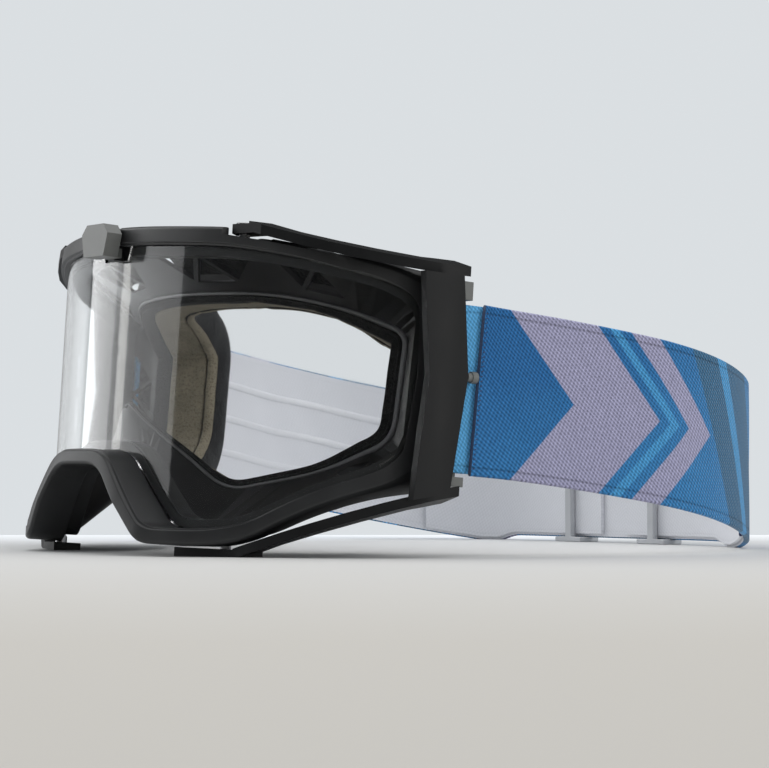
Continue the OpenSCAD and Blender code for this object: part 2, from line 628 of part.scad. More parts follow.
// The strap's middle line seen from above: a straight side, a curve, and a straight rear
strap_x = plate_x - 1.9;
front_end = 65;
side_end = [strap_x + 10, 116];
turn_a = side_end + [7.2, 37];
turn_b = [rear_half + 35.5, strap_rear];
turn_end = [rear_half, strap_rear];
function bend(t) = pow(1 - t, 3) * side_end + 3 * pow(1 - t, 2) * t * turn_a + 3 * (1 - t) * t * t * turn_b + pow(t, 3) * turn_end;
function side_line(t) = [strap_x, front_end] * (1 - t) + side_end * t;
seam_y = 84;
seam_share = (seam_y - front_end) / (side_end[1] - front_end);
back_path = concat([for (k = [0:3]) side_line(seam_share + 0.002 + (0.998 - seam_share) * k / 4)],
  [for (k = [0:16]) bend(k / 16)]);
function mirrored(path) = [for (i = [len(path) - 1:-1:0]) [-path[i][0], path[i][1]]];
front_path = [side_line(0), side_line(seam_share / 2), side_line(seam_share - 0.004)];

function side_way(path, i) = let (a = path[max(i - 1, 0)], b = path[min(i + 1, len(path) - 1)]) -left_of(a, b);
// A band along a path between two distances to its outer side
function band(path, near, far) = concat([for (i = [0:len(path) - 1]) path[i] + far * side_way(path, i)],
  [for (i = [len(path) - 1:-1:0]) path[i] + near * side_way(path, i)]);

// The strap's edges seen from the side: it droops from the bar to the table
flat_y = strap_rear - 6;
function sag(y) = let (u = min(max((y - bar_y) / (flat_y - bar_y), 0), 1)) strap_start_z * (0.56 * u + 0.44 * u * u);
// At the adjusters the strap is gathered a little, so its edges draw in
gather = rail_t + rail_gap;
function edge_run(z) = concat([for (k = [0:10]) let (y = bar_y - 8 + (flat_y - bar_y + 8) * k / 10) [y, strap_start_z - sag(y) + z]],
  [[strap_rear - 4, z], [strap_rear - 1.4, z + gather * (1 - 2 * z / strap_w)], [strap_rear + 10, z + gather * (1 - 2 * z / strap_w)]]);
module strap_slice(low, high) {
  side_prism(-120, 120) polygon(concat(edge_run(high), [for (i = [13:-1:0]) edge_run(low)[i]]));
}

module webbing(path, near, far, low, high) {
  translate([0, -mid_y, 0]) intersection() {
    linear_extrude(2 * reach) polygon(band(path, near, far));
    strap_slice(low, high);
  }
}

module strap_end() { webbing(front_path, -strap_t / 2, strap_t / 2, 0, strap_w); }
module strap_end_left() { color([0.1, 0.25, 0.5]) strap_end(); }
module strap_end_right() { color([0.1, 0.25, 0.5]) mirror([1, 0, 0]) strap_end(); }
module strap_main() {
  color([0.15, 0.35, 0.65]) webbing(concat(back_path, mirrored(back_path)), -strap_t / 2, strap_t / 2, 0, strap_w);
}

// The end of the strap is doubled back inside it, through the adjuster
tail_near = -strap_t / 2 - tail_t - 0.1;
tail_path = concat([for (k = [9:16]) bend(k / 16)], [[tail_x, strap_rear]]);
module strap_tail() { webbing(tail_path, tail_near, -strap_t / 2 - 0.1, 1, strap_w - 1); }
module strap_tail_left() { color([0.1, 0.2, 0.4]) strap_tail(); }
module strap_tail_right() { color([0.1, 0.2, 0.4]) mirror([1, 0, 0]) strap_tail(); }

// The loop goes forwards inside the strap, round the bar and back; it leans with the bar
loop_r = bar_r + 0.15 + loop_t / 2;
loop_out = -strap_t / 2 - 0.7 - loop_t / 2;
loop_in = loop_out - loop_t - 0.06;
loop_way = side_way([side_line(0), side_line(1)], 0);
loop_path = concat([for (i = [0, 1]) side_line(0.14 - 0.08 * i) + loop_in * loop_way],
  [for (a = [180:20:360]) [bar_x + loop_r * cos(a), bar_y + loop_r * sin(a)]],
  [for (i = [1, 0]) side_line(0.14 - 0.08 * i) + loop_out * loop_way]);

module strap_loop() {
  lean() translate([0, 0, 0.2 - strap_w / 2]) linear_extrude(strap_w - 0.4) polygon(band(loop_path, -loop_t / 2, loop_t / 2));
}

module strap_loop_left() { color([0.25, 0.55, 0.8]) strap_loop(); }
module strap_loop_right() { color([0.25, 0.55, 0.8]) mirror([1, 0, 0]) strap_loop(); }

// Adjuster: two bars outside the strap, one inside, joined above and below it
module slider() {
  outside = strap_t / 2 + 0.3;
  inside = -tail_near + 0.3;
  high = strap_w - rail_t;
  for (x = [0, slider_w - 3]) translate([x, outside, 0]) cube([3, slider_t, strap_w]);
  translate([slider_w / 2 - 1.5, -inside - slider_t, 0]) cube([3, slider_t, strap_w]);
  for (z = [0, high]) translate([0, -inside - slider_t, z]) cube([slider_w, inside + outside + 2 * slider_t, rail_t]);
}

module slider_left() {
  color([0.12, 0.12, 0.13]) translate([slider_x - slider_w / 2, strap_rear - mid_y, 0]) slider();
}
module slider_right() { mirror([1, 0, 0]) slider_left(); }

// Three raised silicone lines on the strap's inner face
grip_path = concat([for (k = [1:3]) side_line(seam_share + (1 - seam_share) * k / 4)], [for (k = [0:8]) bend(k / 16)]);
module grip_lines() {
  for (z = [0.25, 0.5, 0.75]) webbing(grip_path, -strap_t / 2 - grip_t, -strap_t / 2 - 0.03, z * strap_w - 1.2, z * strap_w + 1.2);
}

module grip_lines_left() { color([0.85, 0.85, 0.85]) grip_lines(); }
module grip_lines_right() { color([0.85, 0.85, 0.85]) mirror([1, 0, 0]) grip_lines(); }

outer_frame();
inner_frame();
lens();
lens_seal();
foam_base();
foam_middle();
foam_fleece();
vent_foam_top();
vent_foam_side();
vent_foam_lower();
latch_clip();
latch_pin();
outrigger_left();
outrigger_right();
hinge_pin_upper_left();
hinge_pin_upper_right();
hinge_pin_lower_left();
hinge_pin_lower_right();
strap_bar_left();
strap_bar_right();
lock_stud_left();
lock_stud_right();
strap_loop_left();
strap_loop_right();
strap_end_left();
strap_end_right();
strap_main();
strap_tail_left();
strap_tail_right();
slider_left();
slider_right();
grip_lines_left();
grip_lines_right();
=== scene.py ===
"""Motocross goggles: rim, lens, latch, inner frame, foam, outriggers and strap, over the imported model."""
import math

import bmesh
import bpy
import numpy as np
from mathutils import Matrix, Vector


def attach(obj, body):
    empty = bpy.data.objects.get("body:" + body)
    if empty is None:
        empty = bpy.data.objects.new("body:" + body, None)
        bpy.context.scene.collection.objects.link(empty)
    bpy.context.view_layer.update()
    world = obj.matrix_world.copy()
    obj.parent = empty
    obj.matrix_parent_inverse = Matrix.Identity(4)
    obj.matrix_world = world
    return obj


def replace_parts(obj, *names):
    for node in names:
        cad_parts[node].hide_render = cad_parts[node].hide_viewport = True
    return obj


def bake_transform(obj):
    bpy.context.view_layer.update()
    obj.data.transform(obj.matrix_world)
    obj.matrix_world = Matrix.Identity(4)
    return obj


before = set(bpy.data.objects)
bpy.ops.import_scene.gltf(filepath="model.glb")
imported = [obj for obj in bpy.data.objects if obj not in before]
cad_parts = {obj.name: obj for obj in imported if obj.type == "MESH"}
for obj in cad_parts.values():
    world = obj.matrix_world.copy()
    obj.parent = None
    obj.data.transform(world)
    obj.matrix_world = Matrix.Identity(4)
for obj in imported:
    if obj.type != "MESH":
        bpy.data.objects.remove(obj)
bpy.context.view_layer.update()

# Sizes of the goggles in millimetres, as in the model's source

# The rim: its two arcs in plan, the depths of its section, and the arms' seats
RIM_R = 105.0
SIDE_R = 54.5
JOINT = math.radians(36.0)
SIDE_C = np.array([(RIM_R - SIDE_R) * math.sin(JOINT), RIM_R - (RIM_R - SIDE_R) * math.cos(JOINT)])
RIM_DEPTH = 8.5
ARM_BEND, ARM_SLOPE = 52.0, 0.269
RIM_FRONT = 3.5
SEAT_DEPTH = 3.85
SIDE_DEPTH = 56.4
# The nose arch
ARCH_PROUD = 5.5
ARCH_X = 52.0
ARCH_TILT = math.radians(10.0)
NOSE_Z = 20.6
# The lens and its notch
LENS_IN = 2.2
LENS_T = 1.0
LENS_GAP = 0.3
LENS_MIDDLE = np.array([0, 8.0])
NOTCH_HALF, NOTCH_Z = 7.5, 32.6
LEDGE_W = 3.0
# The flange's cylinder and the foam on it
FACE_R = 77.0
FACE_Y = 24.0
NOSE_PULL = 14.0
FOAM_IN, FOAM_OUT = 3.4, 8.0
FLEECE_NEAR, FLEECE_T = 13.1, 4.0
FLEECE_ROUND = [0.6, 0.6, 1, 1, 1.5, 1.5, 1.5, 1, 1]
# The strap, its seam, the gather at the adjusters, its loops and its doubled ends
STRAP_W = 45.0
STRAP_T = 1.8
STRAP_REAR = 190.0
REAR_HALF = 36.0
STRAP_X = 86.9
SIDE_START, SIDE_END = np.array([STRAP_X, 65.0]), np.array([STRAP_X + 10, 116.0])
SEAM_LEAN, SEAM_RUN, MAIN_SEAM_Y = 2.6, 14.0, 84.0
GATHER, GATHER_START, GATHER_END = 1.85, STRAP_REAR - 4, STRAP_REAR - 1.4
ACROSS = 16
BAR_X, BAR_Y, BAR_R = 83.0, 60.4, 1.5
LOOP_T = 1.1
TAIL_T, TAIL_X = 1.2, 6.0
# How the goggles lean on their feet, and where that puts them
LEAN = math.radians(4.0)
FOOT_Z = -48.3
REST_H = -FOOT_Z * math.cos(LEAN) + 14.0 * math.sin(LEAN)
ARCH_FRONT = -(ARCH_PROUD + 4.2 * math.tan(ARCH_TILT)) * math.cos(LEAN) - 24.8 * math.sin(LEAN)
LATCH_FRONT = -5.2 * math.cos(LEAN) + 42.3 * math.sin(LEAN)
MID_Y = (min(ARCH_FRONT, LATCH_FRONT) + STRAP_REAR + 3.2) / 2
# The arch's radius, which brings it back to the rim at ARCH_X
ARCH_END = RIM_R - math.sqrt(RIM_R**2 - ARCH_X**2) + ARCH_PROUD
ARCH_R = (ARCH_X**2 + ARCH_END**2) / (2 * ARCH_END)

# Outlines of the lens opening and of the face ring, seen from the front, with their corners' setbacks
HALF_EDGE = np.array([[46.5, 35.2], [66.6, 31.4], [81.6, 25.6], [80.8, -22], [50.2, -41.2], [31.5, -41.6],
                      [13.2, -20.6]])
EDGE = np.vstack([[[0, 37]], HALF_EDGE, [[0, -20.4]], HALF_EDGE[::-1] * [-1, 1]])
EDGE_SETBACK = np.array([18, 10, 8, 7, 7, 8, 4, 7, 3, 7, 4, 8, 7, 7, 8, 10], float)
HALF_WIDTH = np.array([5.1, 5.1, 4.0, 2.1, 4.4, 4.4, 4.4, 4.4])
EDGE_WIDTH = np.concatenate([HALF_WIDTH, HALF_WIDTH[::-1]])
REAR_STEP = 1.95
ARM_FLOOR = HALF_EDGE[0, 1] + HALF_WIDTH[0] - REAR_STEP + 0.05
REAR_WIDTH = np.maximum(EDGE_WIDTH - REAR_STEP, 1.8)
HALF_FACE = np.array([[38, 26], [62, 21.5], [76.8, 16.5], [74.5, -15.5], [54, -25], [26, -31], [8.5, -14]])
FACE = np.vstack([[[0, 26.5]], HALF_FACE, [[0, -6.5]], HALF_FACE[::-1] * [-1, 1]])
FACE_SETBACK = np.array([14, 12, 8, 5.5, 7, 9, 7, 4, 2.5, 4, 7, 9, 7, 5.5, 8, 12], float)
EDGE_PARTS = [18, 8, 6, 18, 14, 6, 11, 5, 5, 11, 6, 14, 18, 6, 8, 18]
CORNER_PARTS = 8
SIDES = ((1, "left"), (-1, "right"))


# Placing

def leaned(points):
    """Goggle millimetres to row metres: turn by the lean about X, then lift by the rest height."""
    p = np.asarray(points, float)
    y = p[..., 1] * math.cos(LEAN) + p[..., 2] * math.sin(LEAN) - MID_Y
    z = -p[..., 1] * math.sin(LEAN) + p[..., 2] * math.cos(LEAN) + REST_H
    return np.stack([p[..., 0], y, z], -1) * 0.001


def level(points):
    """Table millimetres to row metres: only the shift along Y."""
    return (np.asarray(points, float) - [0, MID_Y, 0]) * 0.001


# Meshes

def smoothed(mesh, sharp):
    """Smooth shading, but not over edges that turn by more than an angle in degrees."""
    mesh.polygons.foreach_set("use_smooth", [True] * len(mesh.polygons))
    if sharp is not None:
        mesh.set_sharp_from_angle(angle=math.radians(sharp))


def added(name, data):
    """A new object of the scene."""
    piece = bpy.data.objects.new(name, data)
    bpy.context.scene.collection.objects.link(piece)
    return piece


def make_piece(name, points, faces, maps=None, sharp=38.0, outward=True):
    """A mesh object from points in row metres; all faces are flipped if the enclosed volume is negative.

    Six times the volume is the sum, over a fan of triangles a, b, c in each face, of a . (b x c)."""
    points = np.asarray(points, float).reshape(-1, 3)
    faces = [np.asarray(f, int) for f in faces]
    if outward:
        fans = [np.stack([f[:, [0, k, k + 1]] for k in range(1, f.shape[1] - 1)], 1) for f in faces]
        tri = np.concatenate([fan.reshape(-1, 3) for fan in fans])
        a, b, c = points[tri[:, 0]], points[tri[:, 1]], points[tri[:, 2]]
        if np.einsum("ij,ij->i", a, np.cross(b, c)).sum() < 0:
            faces = [f[:, ::-1] for f in faces]
    mesh = bpy.data.meshes.new(name)
    mesh.from_pydata(points.tolist(), [], [row for f in faces for row in f.tolist()])
    mesh.validate(clean_customdata=False)
    if maps is not None:
        loops = np.zeros(len(mesh.loops), int)
        mesh.loops.foreach_get("vertex_index", loops)
        for label, uv in maps.items():
            layer = mesh.uv_layers.new(name=label)
            layer.data.foreach_set("uv", np.asarray(uv, float).reshape(-1, 2)[loops].ravel())
    smoothed(mesh, sharp)
    mesh.update()
    return added(name, mesh)


def grid_faces(rows, cols, ring_rows, ring_cols, start=0):
    """Quads of a grid of rows by cols points: (i, j), (i, j+1), (i+1, j+1), (i+1, j), closed where asked."""
    i = np.arange(rows if ring_rows else rows - 1)
    j = np.arange(cols if ring_cols else cols - 1)
    i, j = [a.ravel() for a in np.meshgrid(i, j, indexing="ij")]
    i2, j2 = (i + 1) % rows, (j + 1) % cols
    return np.stack([i * cols + j, i * cols + j2, i2 * cols + j2, i2 * cols + j], -1) + start


def rounded(p, b, q, t):
    """The parabola from p to q that rounds a corner b, at t: (1-t)^2 p + 2t(1-t) b + t^2 q."""
    return (1 - t) ** 2 * p + 2 * t * (1 - t) * b + t * t * q


def soften(rows, setbacks, steps=3):
    """Rounds each corner of every row's closed section between two points a setback away from it.

    No setback takes more than 0.45 of a side."""
    rows = np.asarray(rows, float)
    before, after = np.roll(rows, 1, 1), np.roll(rows, -1, 1)
    out = []
    for k, s in enumerate(setbacks):
        a, b, c = before[:, k], rows[:, k], after[:, k]
        if s <= 0:
            out.append(b)
            continue
        la, lc = np.linalg.norm(a - b, axis=1)[:, None], np.linalg.norm(c - b, axis=1)[:, None]
        la, lc = np.maximum(la, 1e-9), np.maximum(lc, 1e-9)
        s = np.minimum(np.minimum(s, 0.45 * la), 0.45 * lc)
        p, q = b + (a - b) / la * s, b + (c - b) / lc * s
        out += [rounded(p, b, q, t) for t in np.linspace(0, 1, steps + 1)]
    return np.stack(out, 1)


def ring_piece(name, rows, sharp=38.0):
    """A closed ring: rows of sections round the goggles, each a closed loop of points."""
    n, k = rows.shape[:2]
    return make_piece(name, rows, [grid_faces(n, k, True, True)], None, sharp)


def run_piece(name, rows, maps=None, sharp=38.0):
    """An open run of closed sections, with a fan of triangles round the middle of each end."""
    n, k = rows.shape[:2]
    points = np.vstack([rows.reshape(-1, 3), rows[0].mean(0), rows[-1].mean(0)])
    j = np.arange(k)
    first = np.stack([np.full(k, n * k), (j + 1) % k, j], -1)
    last = np.stack([np.full(k, n * k + 1), (n - 1) * k + j, (n - 1) * k + (j + 1) % k], -1)
    if maps is not None:
        maps = {label: np.vstack([uv.reshape(-1, 2), uv[0].mean(0), uv[-1].mean(0)])
                for label, uv in maps.items()}
    return make_piece(name, points, [grid_faces(n, k, False, True), first, last], maps, sharp)


def trimmed(piece, cutters):
    """Cuts closed pieces out of a piece, each an exact difference, and keeps the result as its mesh."""
    for cutter in cutters:
        cut = piece.modifiers.new("cut", "BOOLEAN")
        cut.operation, cut.solver, cut.object = "DIFFERENCE", "EXACT", cutter
    bpy.context.view_layer.update()
    solid = bpy.data.meshes.new_from_object(piece.evaluated_get(bpy.context.evaluated_depsgraph_get()))
    piece.modifiers.clear()
    piece.data = solid
    for cutter in cutters:
        bpy.data.objects.remove(cutter)
    smoothed(solid, 32)
    return piece


def bevelled(node, name, width):
    """A merged copy of a node that stands for it: edges over 30 degrees are rounded by a width in mm."""
    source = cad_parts[node]
    mesh = source.data.copy()
    shape = bmesh.new()
    shape.from_mesh(mesh)
    bmesh.ops.remove_doubles(shape, verts=shape.verts, dist=2e-6)
    bmesh.ops.dissolve_limit(shape, angle_limit=math.radians(1.2), verts=shape.verts, edges=shape.edges)
    bmesh.ops.recalc_face_normals(shape, faces=shape.faces)
    shape.to_mesh(mesh)
    shape.free()
    mesh.materials.clear()
    smoothed(mesh, 35)
    piece = added(name, mesh)
    edge = piece.modifiers.new("rounded edges", "BEVEL")
    edge.width, edge.segments, edge.limit_method = width * 0.001, 2, "ANGLE"
    edge.angle_limit, edge.harden_normals, edge.miter_outer = math.radians(30), True, "MITER_ARC"
    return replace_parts(piece, node)


# Outlines

def left_of(a, b):
    """Unit vector to the left of the way from a to b: (a.y - b.y, b.x - a.x) over its length."""
    d = np.array([a[1] - b[1], b[0] - a[0]])
    return d / np.hypot(*d)


def widened(points, widths):
    """Moves each edge of a clockwise outline outwards by its width; the moved edges meet at new corners.

    For unit normals m, k, widths v, w and c = m . k it is moved by ((v - wc) m + (w - vc) k) / (1 - cc)."""
    widths = np.broadcast_to(np.asarray(widths, float), (len(points),))
    n, out = len(points), []
    for i in range(n):
        m, k = left_of(points[i - 1], points[i]), left_of(points[i], points[(i + 1) % n])
        c, v, w = m @ k, widths[i - 1], widths[i]
        corner = ((v - w * c) * m + (w - v * c) * k) / max(1 - c * c, 1e-6)
        out.append(points[i] + (w * k if c > 0.9999 else corner))
    return np.array(out)


def stations(points, setbacks):
    """The outline with each corner rounded and followed by a straight run, q + (r - q) t.

    The count of points on every corner and side is fixed, so outlines of any width match point for point."""
    n = len(points)
    ahead = np.roll(points, -1, 0)
    length = np.linalg.norm(ahead - points, axis=1)
    held = np.minimum(np.minimum(setbacks, 0.47 * length), 0.47 * np.roll(length, 1))
    out = []
    for i in range(n):
        a, b, c = points[i - 1], points[i], ahead[i]
        p = b + (a - b) / np.linalg.norm(a - b) * held[i]
        q = b + (c - b) / length[i] * held[i]
        r = c + (b - c) / length[i] * held[(i + 1) % n]
        out.append(rounded(p, b, q, np.linspace(0, 1, CORNER_PARTS + 1)[:, None]))
        t = (np.arange(1, EDGE_PARTS[i]) / EDGE_PARTS[i])[:, None]
        out.append(q + (r - q) * t)
    return np.vstack(out)


def opening(width):
    """The lens opening moved outwards by a width."""
    return stations(widened(EDGE, width), EDGE_SETBACK)


def curve_depth(x, deep):
    """How far back the rim's curve lies at x, a depth behind its front: c - sqrt((r - deep)^2 - (x - c.x)^2).

    The wide arc has r = RIM_R and its centre at (0, RIM_R); past JOINT the side arc has SIDE_R and SIDE_C."""
    a = np.abs(x)
    front = RIM_R - np.sqrt(np.maximum((RIM_R - deep) ** 2 - a * a, 0))
    side = SIDE_C[1] - np.sqrt(np.maximum((SIDE_R - deep) ** 2 - (a - SIDE_C[0]) ** 2, 0))
    return np.where(a < (RIM_R - deep) * math.sin(JOINT), front, side)


def rim_depth(p, depth, stop=SIDE_DEPTH):
    """curve_depth at points of the outline, no further back than the stop."""
    return np.minimum(curve_depth(p[:, 0], depth), stop)


def smooth_share(x, low, high):
    """0 below low, 1 above high, and u^2 (3 - 2u) between, where u runs from 0 to 1."""
    u = np.clip((x - low) / (high - low), 0, 1)
    return u * u * (3 - 2 * u)


def front_depth(p, depth, stop=SIDE_DEPTH):
    """The depth of the visible front, where the nose arch's tilted cylinder stands proud and runs out.

    The arch is at ARCH_R - ARCH_PROUD + ((z + NOSE_Z) sin(tilt) - sqrt((ARCH_R - depth)^2 - xx)) / cos(tilt).
    The nearer of rim and arch shows, blended over 1.6 mm."""
    x, z = p[:, 0], p[:, 1]
    lean_out = math.sin(ARCH_TILT) * (1 - smooth_share(np.abs(x), 34, 56))
    half = np.sqrt(np.maximum((ARCH_R - depth) ** 2 - x * x, 0))
    arch = ARCH_R - ARCH_PROUD + ((z + NOSE_Z) * lean_out - half) / math.cos(ARCH_TILT)
    run_out = np.interp(np.abs(x), [0, 30, 40, 48, 55], [-12.0, -4.0, 1.0, 8.3, 15.7]) + depth
    arch = np.where((z < -8.6) & (np.abs(x) < 60), np.maximum(arch, run_out), 999)
    rim = rim_depth(p, depth, stop)
    gap = np.clip(0.5 + 0.5 * (arch - rim) / 1.6, 0, 1)
    return gap * rim + (1 - gap) * np.minimum(arch, 900) - 0.4 * gap * (1 - gap)


def with_y(p, y):
    """Outline points (x, z) and depths y as points (x, y, z)."""
    return np.stack([p[:, 0], np.broadcast_to(y, p.shape[:1]), p[:, 1]], -1)


FACE_RING = stations(FACE, FACE_SETBACK)
COUNT = len(FACE_RING)
RING_AHEAD = np.roll(FACE_RING, -1, 0) - np.roll(FACE_RING, 1, 0)
RING_SIDE = np.stack([-RING_AHEAD[:, 1], RING_AHEAD[:, 0]], -1)
FACE_NORMAL = RING_SIDE / np.linalg.norm(RING_AHEAD, axis=1)[:, None]
NEAR_NOSE = np.where(FACE_RING[:, 1] < 10, np.exp(-((FACE_RING[:, 0] / 20) ** 2)), 0)
NEAR_SIDE = smooth_share(np.abs(FACE_RING[:, 0]), 50, 72)


def face_place(p, d):
    """A flat point (a, z) rolled on the flange's cylinder: (r sin t, FACE_Y + FACE_R - r cos t, z).

    Here t = a / FACE_R and r = FACE_R - d. The nose is drawn forwards by NOSE_PULL exp(-(a/18)^2). Beside the
    nose d is halved and the foam slopes down by 0.38 d; at the sides d is a quarter more."""
    p = np.asarray(p, float)
    turn = p[:, 0] / FACE_R
    d = np.broadcast_to(np.asarray(d, float), turn.shape)
    beside = np.where(p[:, 1] < 6, 1 - smooth_share(np.abs(p[:, 0]), 14, 34), 0)
    drop = 0.38 * np.maximum(d, 0) * beside
    more = (1 - 0.5 * beside) * (1 + 0.25 * smooth_share(np.abs(p[:, 0]), 36, 66))
    r = FACE_R - np.where(d < 0, d, d * more)
    pull = np.where(p[:, 1] < 10, NOSE_PULL * np.exp(-((p[:, 0] / 18) ** 2)), 0)
    return np.stack([r * np.sin(turn), FACE_Y + FACE_R - r * np.cos(turn) - pull, p[:, 1] - drop], -1)


def face_at(o, d):
    """The flange's ring moved by o along its normals and back by d.

    Near the nose o is halved outwards and 0.4 of itself inwards; at the sides it is 1.6 of itself inwards."""
    o = np.broadcast_to(np.asarray(o, float), NEAR_NOSE.shape)
    o = np.where(o > 0, o * (1 - 0.5 * NEAR_NOSE), o * (1 + 0.6 * NEAR_SIDE) * (1 - 0.6 * NEAR_NOSE))
    return face_place(FACE_RING + FACE_NORMAL * o[:, None], d)


# Finishes

def feed(tree, socket, value):
    """Links an output to a socket, or sets the socket to a plain value."""
    if hasattr(value, "is_output"):
        tree.links.new(value, socket)
    else:
        socket.default_value = value


def new_node(tree, kind, *values, **named):
    """A new node of a shader tree; its sockets are fed by their order or by name."""
    node = tree.nodes.new("ShaderNode" + kind)
    for key, value in [*enumerate(values), *named.items()]:
        feed(tree, node.inputs[key], value)
    return node


class Finish:
    """A material with one principled shader and short ways to add the nodes that feed it."""

    def __init__(self, name, colour, rough, **fixed):
        """The shader with its colour, its roughness and any other sockets set to fixed values."""
        self.material = bpy.data.materials.new(name)
        self.material.use_nodes = True
        self.tree = self.material.node_tree
        self.shader = self.tree.nodes["Principled BSDF"]
        self.shader.inputs["Base Color"].default_value = (*colour, 1)
        self.shader.inputs["Roughness"].default_value = rough
        for key, value in fixed.items():
            self.shader.inputs[key.replace("_", " ")].default_value = value
        self.bumped = None

    def put(self, socket, value):
        """Feeds a socket of this material."""
        feed(self.tree, socket, value)

    def node(self, kind, *values, **named):
        """A new node of this material."""
        return new_node(self.tree, kind, *values, **named)

    def place(self):
        """The point in the piece's own coordinates, in metres."""
        return self.node("TexCoord").outputs["Object"]

    def parts(self, vector):
        """The three coordinates of a vector."""
        return self.node("SeparateXYZ", vector).outputs

    def chart(self, name):
        """Both coordinates of a chart of the piece."""
        node = self.node("UVMap")
        node.uv_map = name
        return self.parts(node.outputs[0])[:2]

    def noise(self, scale, detail=3.0, rough=0.55, stretch=None):
        """Fractal noise of a scale per metre, stretched along the axes where asked."""
        where = self.place()
        if stretch:
            where = self.node("Mapping", Vector=where, Scale=stretch).outputs[0]
        return self.node("TexNoise", Vector=where, Scale=scale, Detail=detail, Roughness=rough).outputs["Fac"]

    def cells(self, scale):
        """Distance to the nearest of a scale of scattered points per metre."""
        return self.node("TexVoronoi", Vector=self.place(), Scale=scale).outputs["Distance"]

    def maths(self, kind, a, b=0.0, clamp=False):
        """One operation on two values, held within 0 and 1 where asked."""
        node = self.node("Math", a, b)
        node.operation, node.use_clamp = kind, clamp
        return node.outputs[0]

    def total(self, a, m, b, n):
        """The sum m a + n b."""
        return self.maths("ADD", self.maths("MULTIPLY", a, m), self.maths("MULTIPLY", b, n))

    def remap(self, value, low, high, to_low=0.0, to_high=1.0):
        """The value carried straight from low..high to to_low..to_high and held within them."""
        return self.node("MapRange", value, low, high, to_low, to_high).outputs[0]

    def mix(self, share, a, b):
        """Colour a, or b, or between them by the share."""
        node = self.node("Mix")
        node.data_type = "RGBA"
        self.put(node.inputs[0], share)
        self.put(node.inputs[6], a if hasattr(a, "is_output") else (*a, 1))
        self.put(node.inputs[7], b if hasattr(b, "is_output") else (*b, 1))
        return node.outputs[2]

    def bump(self, height, strength, distance):
        """Relief from a height, added to the relief so far."""
        node = self.node("Bump", Strength=strength, Distance=distance, Height=height)
        if self.bumped is not None:
            self.put(node.inputs["Normal"], self.bumped)
        self.bumped = node.outputs[0]
        self.put(self.shader.inputs["Normal"], self.bumped)

    def colour(self, value):
        """Feeds the base colour."""
        self.put(self.shader.inputs["Base Color"], value)

    def rough(self, value):
        """Feeds the roughness."""
        self.put(self.shader.inputs["Roughness"], value)


def moulded_nylon(name, dark, pale, rough, grain=0.12, level=0.5):
    """Spark-eroded nylon: cloudy shade, fine pitted grain and a roughness that drifts."""
    f = Finish(name, dark, rough, Specular_IOR_Level=level)
    cloud, grit = f.noise(60, 4), f.noise(2600, 2)
    f.colour(f.mix(f.remap(cloud, 0.35, 0.7), dark, pale))
    f.rough(f.remap(f.total(cloud, 1, grit, 0.5), 0.5, 1.0, rough - 0.06, rough + 0.08))
    f.bump(grit, grain, 0.00012)
    f.bump(f.noise(420, 2), 0.05, 0.0002)
    return f.material


def open_foam(name, dark, pale, pore, depth):
    """Open-cell foam: pores of two sizes whose floors are darkened as painted shade, under a soft mottled
    tone.
    """
    f = Finish(name, pale, 0.95, Sheen_Weight=0.08, Sheen_Roughness=0.6, Specular_IOR_Level=0.1)
    big, small = f.cells(pore), f.cells(pore * 2.3)
    pit_depth_and_shade = f.maths("MULTIPLY", f.remap(big, 0.1, 0.55), f.remap(small, 0.05, 0.5))
    shade = f.mix(f.noise(140, 4), dark, pale)
    # Painted shade: the pore floors are darkened by the same pattern that sinks them
    f.colour(f.mix(f.remap(pit_depth_and_shade, 0.0, 0.8), dark, shade))
    f.bump(pit_depth_and_shade, 0.7, depth)
    f.bump(f.noise(90, 3), 0.35, 0.0006)
    return f.material


def brushed_fleece(name, dark, pale):
    """Fleece: short brushed pile in clumps, with a pale bloom at grazing angles."""
    f = Finish(name, pale, 1.0, Sheen_Weight=0.15, Sheen_Roughness=0.45, Specular_IOR_Level=0.05)
    pile = f.noise(1500, 5, 0.75, stretch=(1, 1, 0.5))
    clump = f.noise(260, 3)
    share = f.maths("MULTIPLY", f.remap(pile, 0.3, 0.7), f.remap(clump, 0.3, 0.7, 0.5, 1))
    f.colour(f.mix(share, dark, pale))
    f.bump(pile, 0.8, 0.0006)
    f.bump(clump, 0.5, 0.0009)
    return f.material


# Colours of the strap's print, as light values
PRINT = {"blue": (0.026, 0.155, 0.40), "sky": (0.075, 0.34, 0.66), "mauve": (0.40, 0.39, 0.56),
         "slate": (0.05, 0.16, 0.29), "navy": (0.006, 0.018, 0.10)}
# Pitches of the weave in metres
RIB_PITCH, THREAD_PITCH = 0.00092, 0.00105
# The print in metres along the strap: which way a band runs, where it starts and ends, and its colour
BANDS = (("chevron", 0.029, 0.056, "mauve"), ("chevron", 0.0595, 0.0628, "sky"),
         ("chevron", 0.0665, 0.0755, "mauve"), ("slant", 0.087, 0.119, "slate"),
         ("slant", 0.0985, 0.1035, "sky"), ("slant", 0.131, 0.147, "mauve"),
         ("slant", 0.168, 0.30, "slate"), ("slant", 0.176, 0.180, "sky"))


def knitted(f, u, v):
    """Height of the weave: 0.55 sin(2 pi (0.79v + 0.62u) / rib) + 0.4 sin(2 pi (0.94u - 0.34v) / thread)."""
    rib, cross = f.total(v, 0.79, u, 0.62), f.total(u, 0.94, v, -0.34)
    rib = f.maths("SINE", f.maths("MULTIPLY", rib, 2 * math.pi / RIB_PITCH))
    cross = f.maths("SINE", f.maths("MULTIPLY", cross, 2 * math.pi / THREAD_PITCH))
    return f.total(rib, 0.55, cross, 0.4)


def band(f, s, low, high, soft=0.00018):
    """1 between two distances along s, with a printed edge's slight softness."""
    up = f.remap(s, low - soft, low + soft)
    down = f.remap(s, high - soft, high + soft)
    return f.maths("SUBTRACT", up, down, clamp=True)


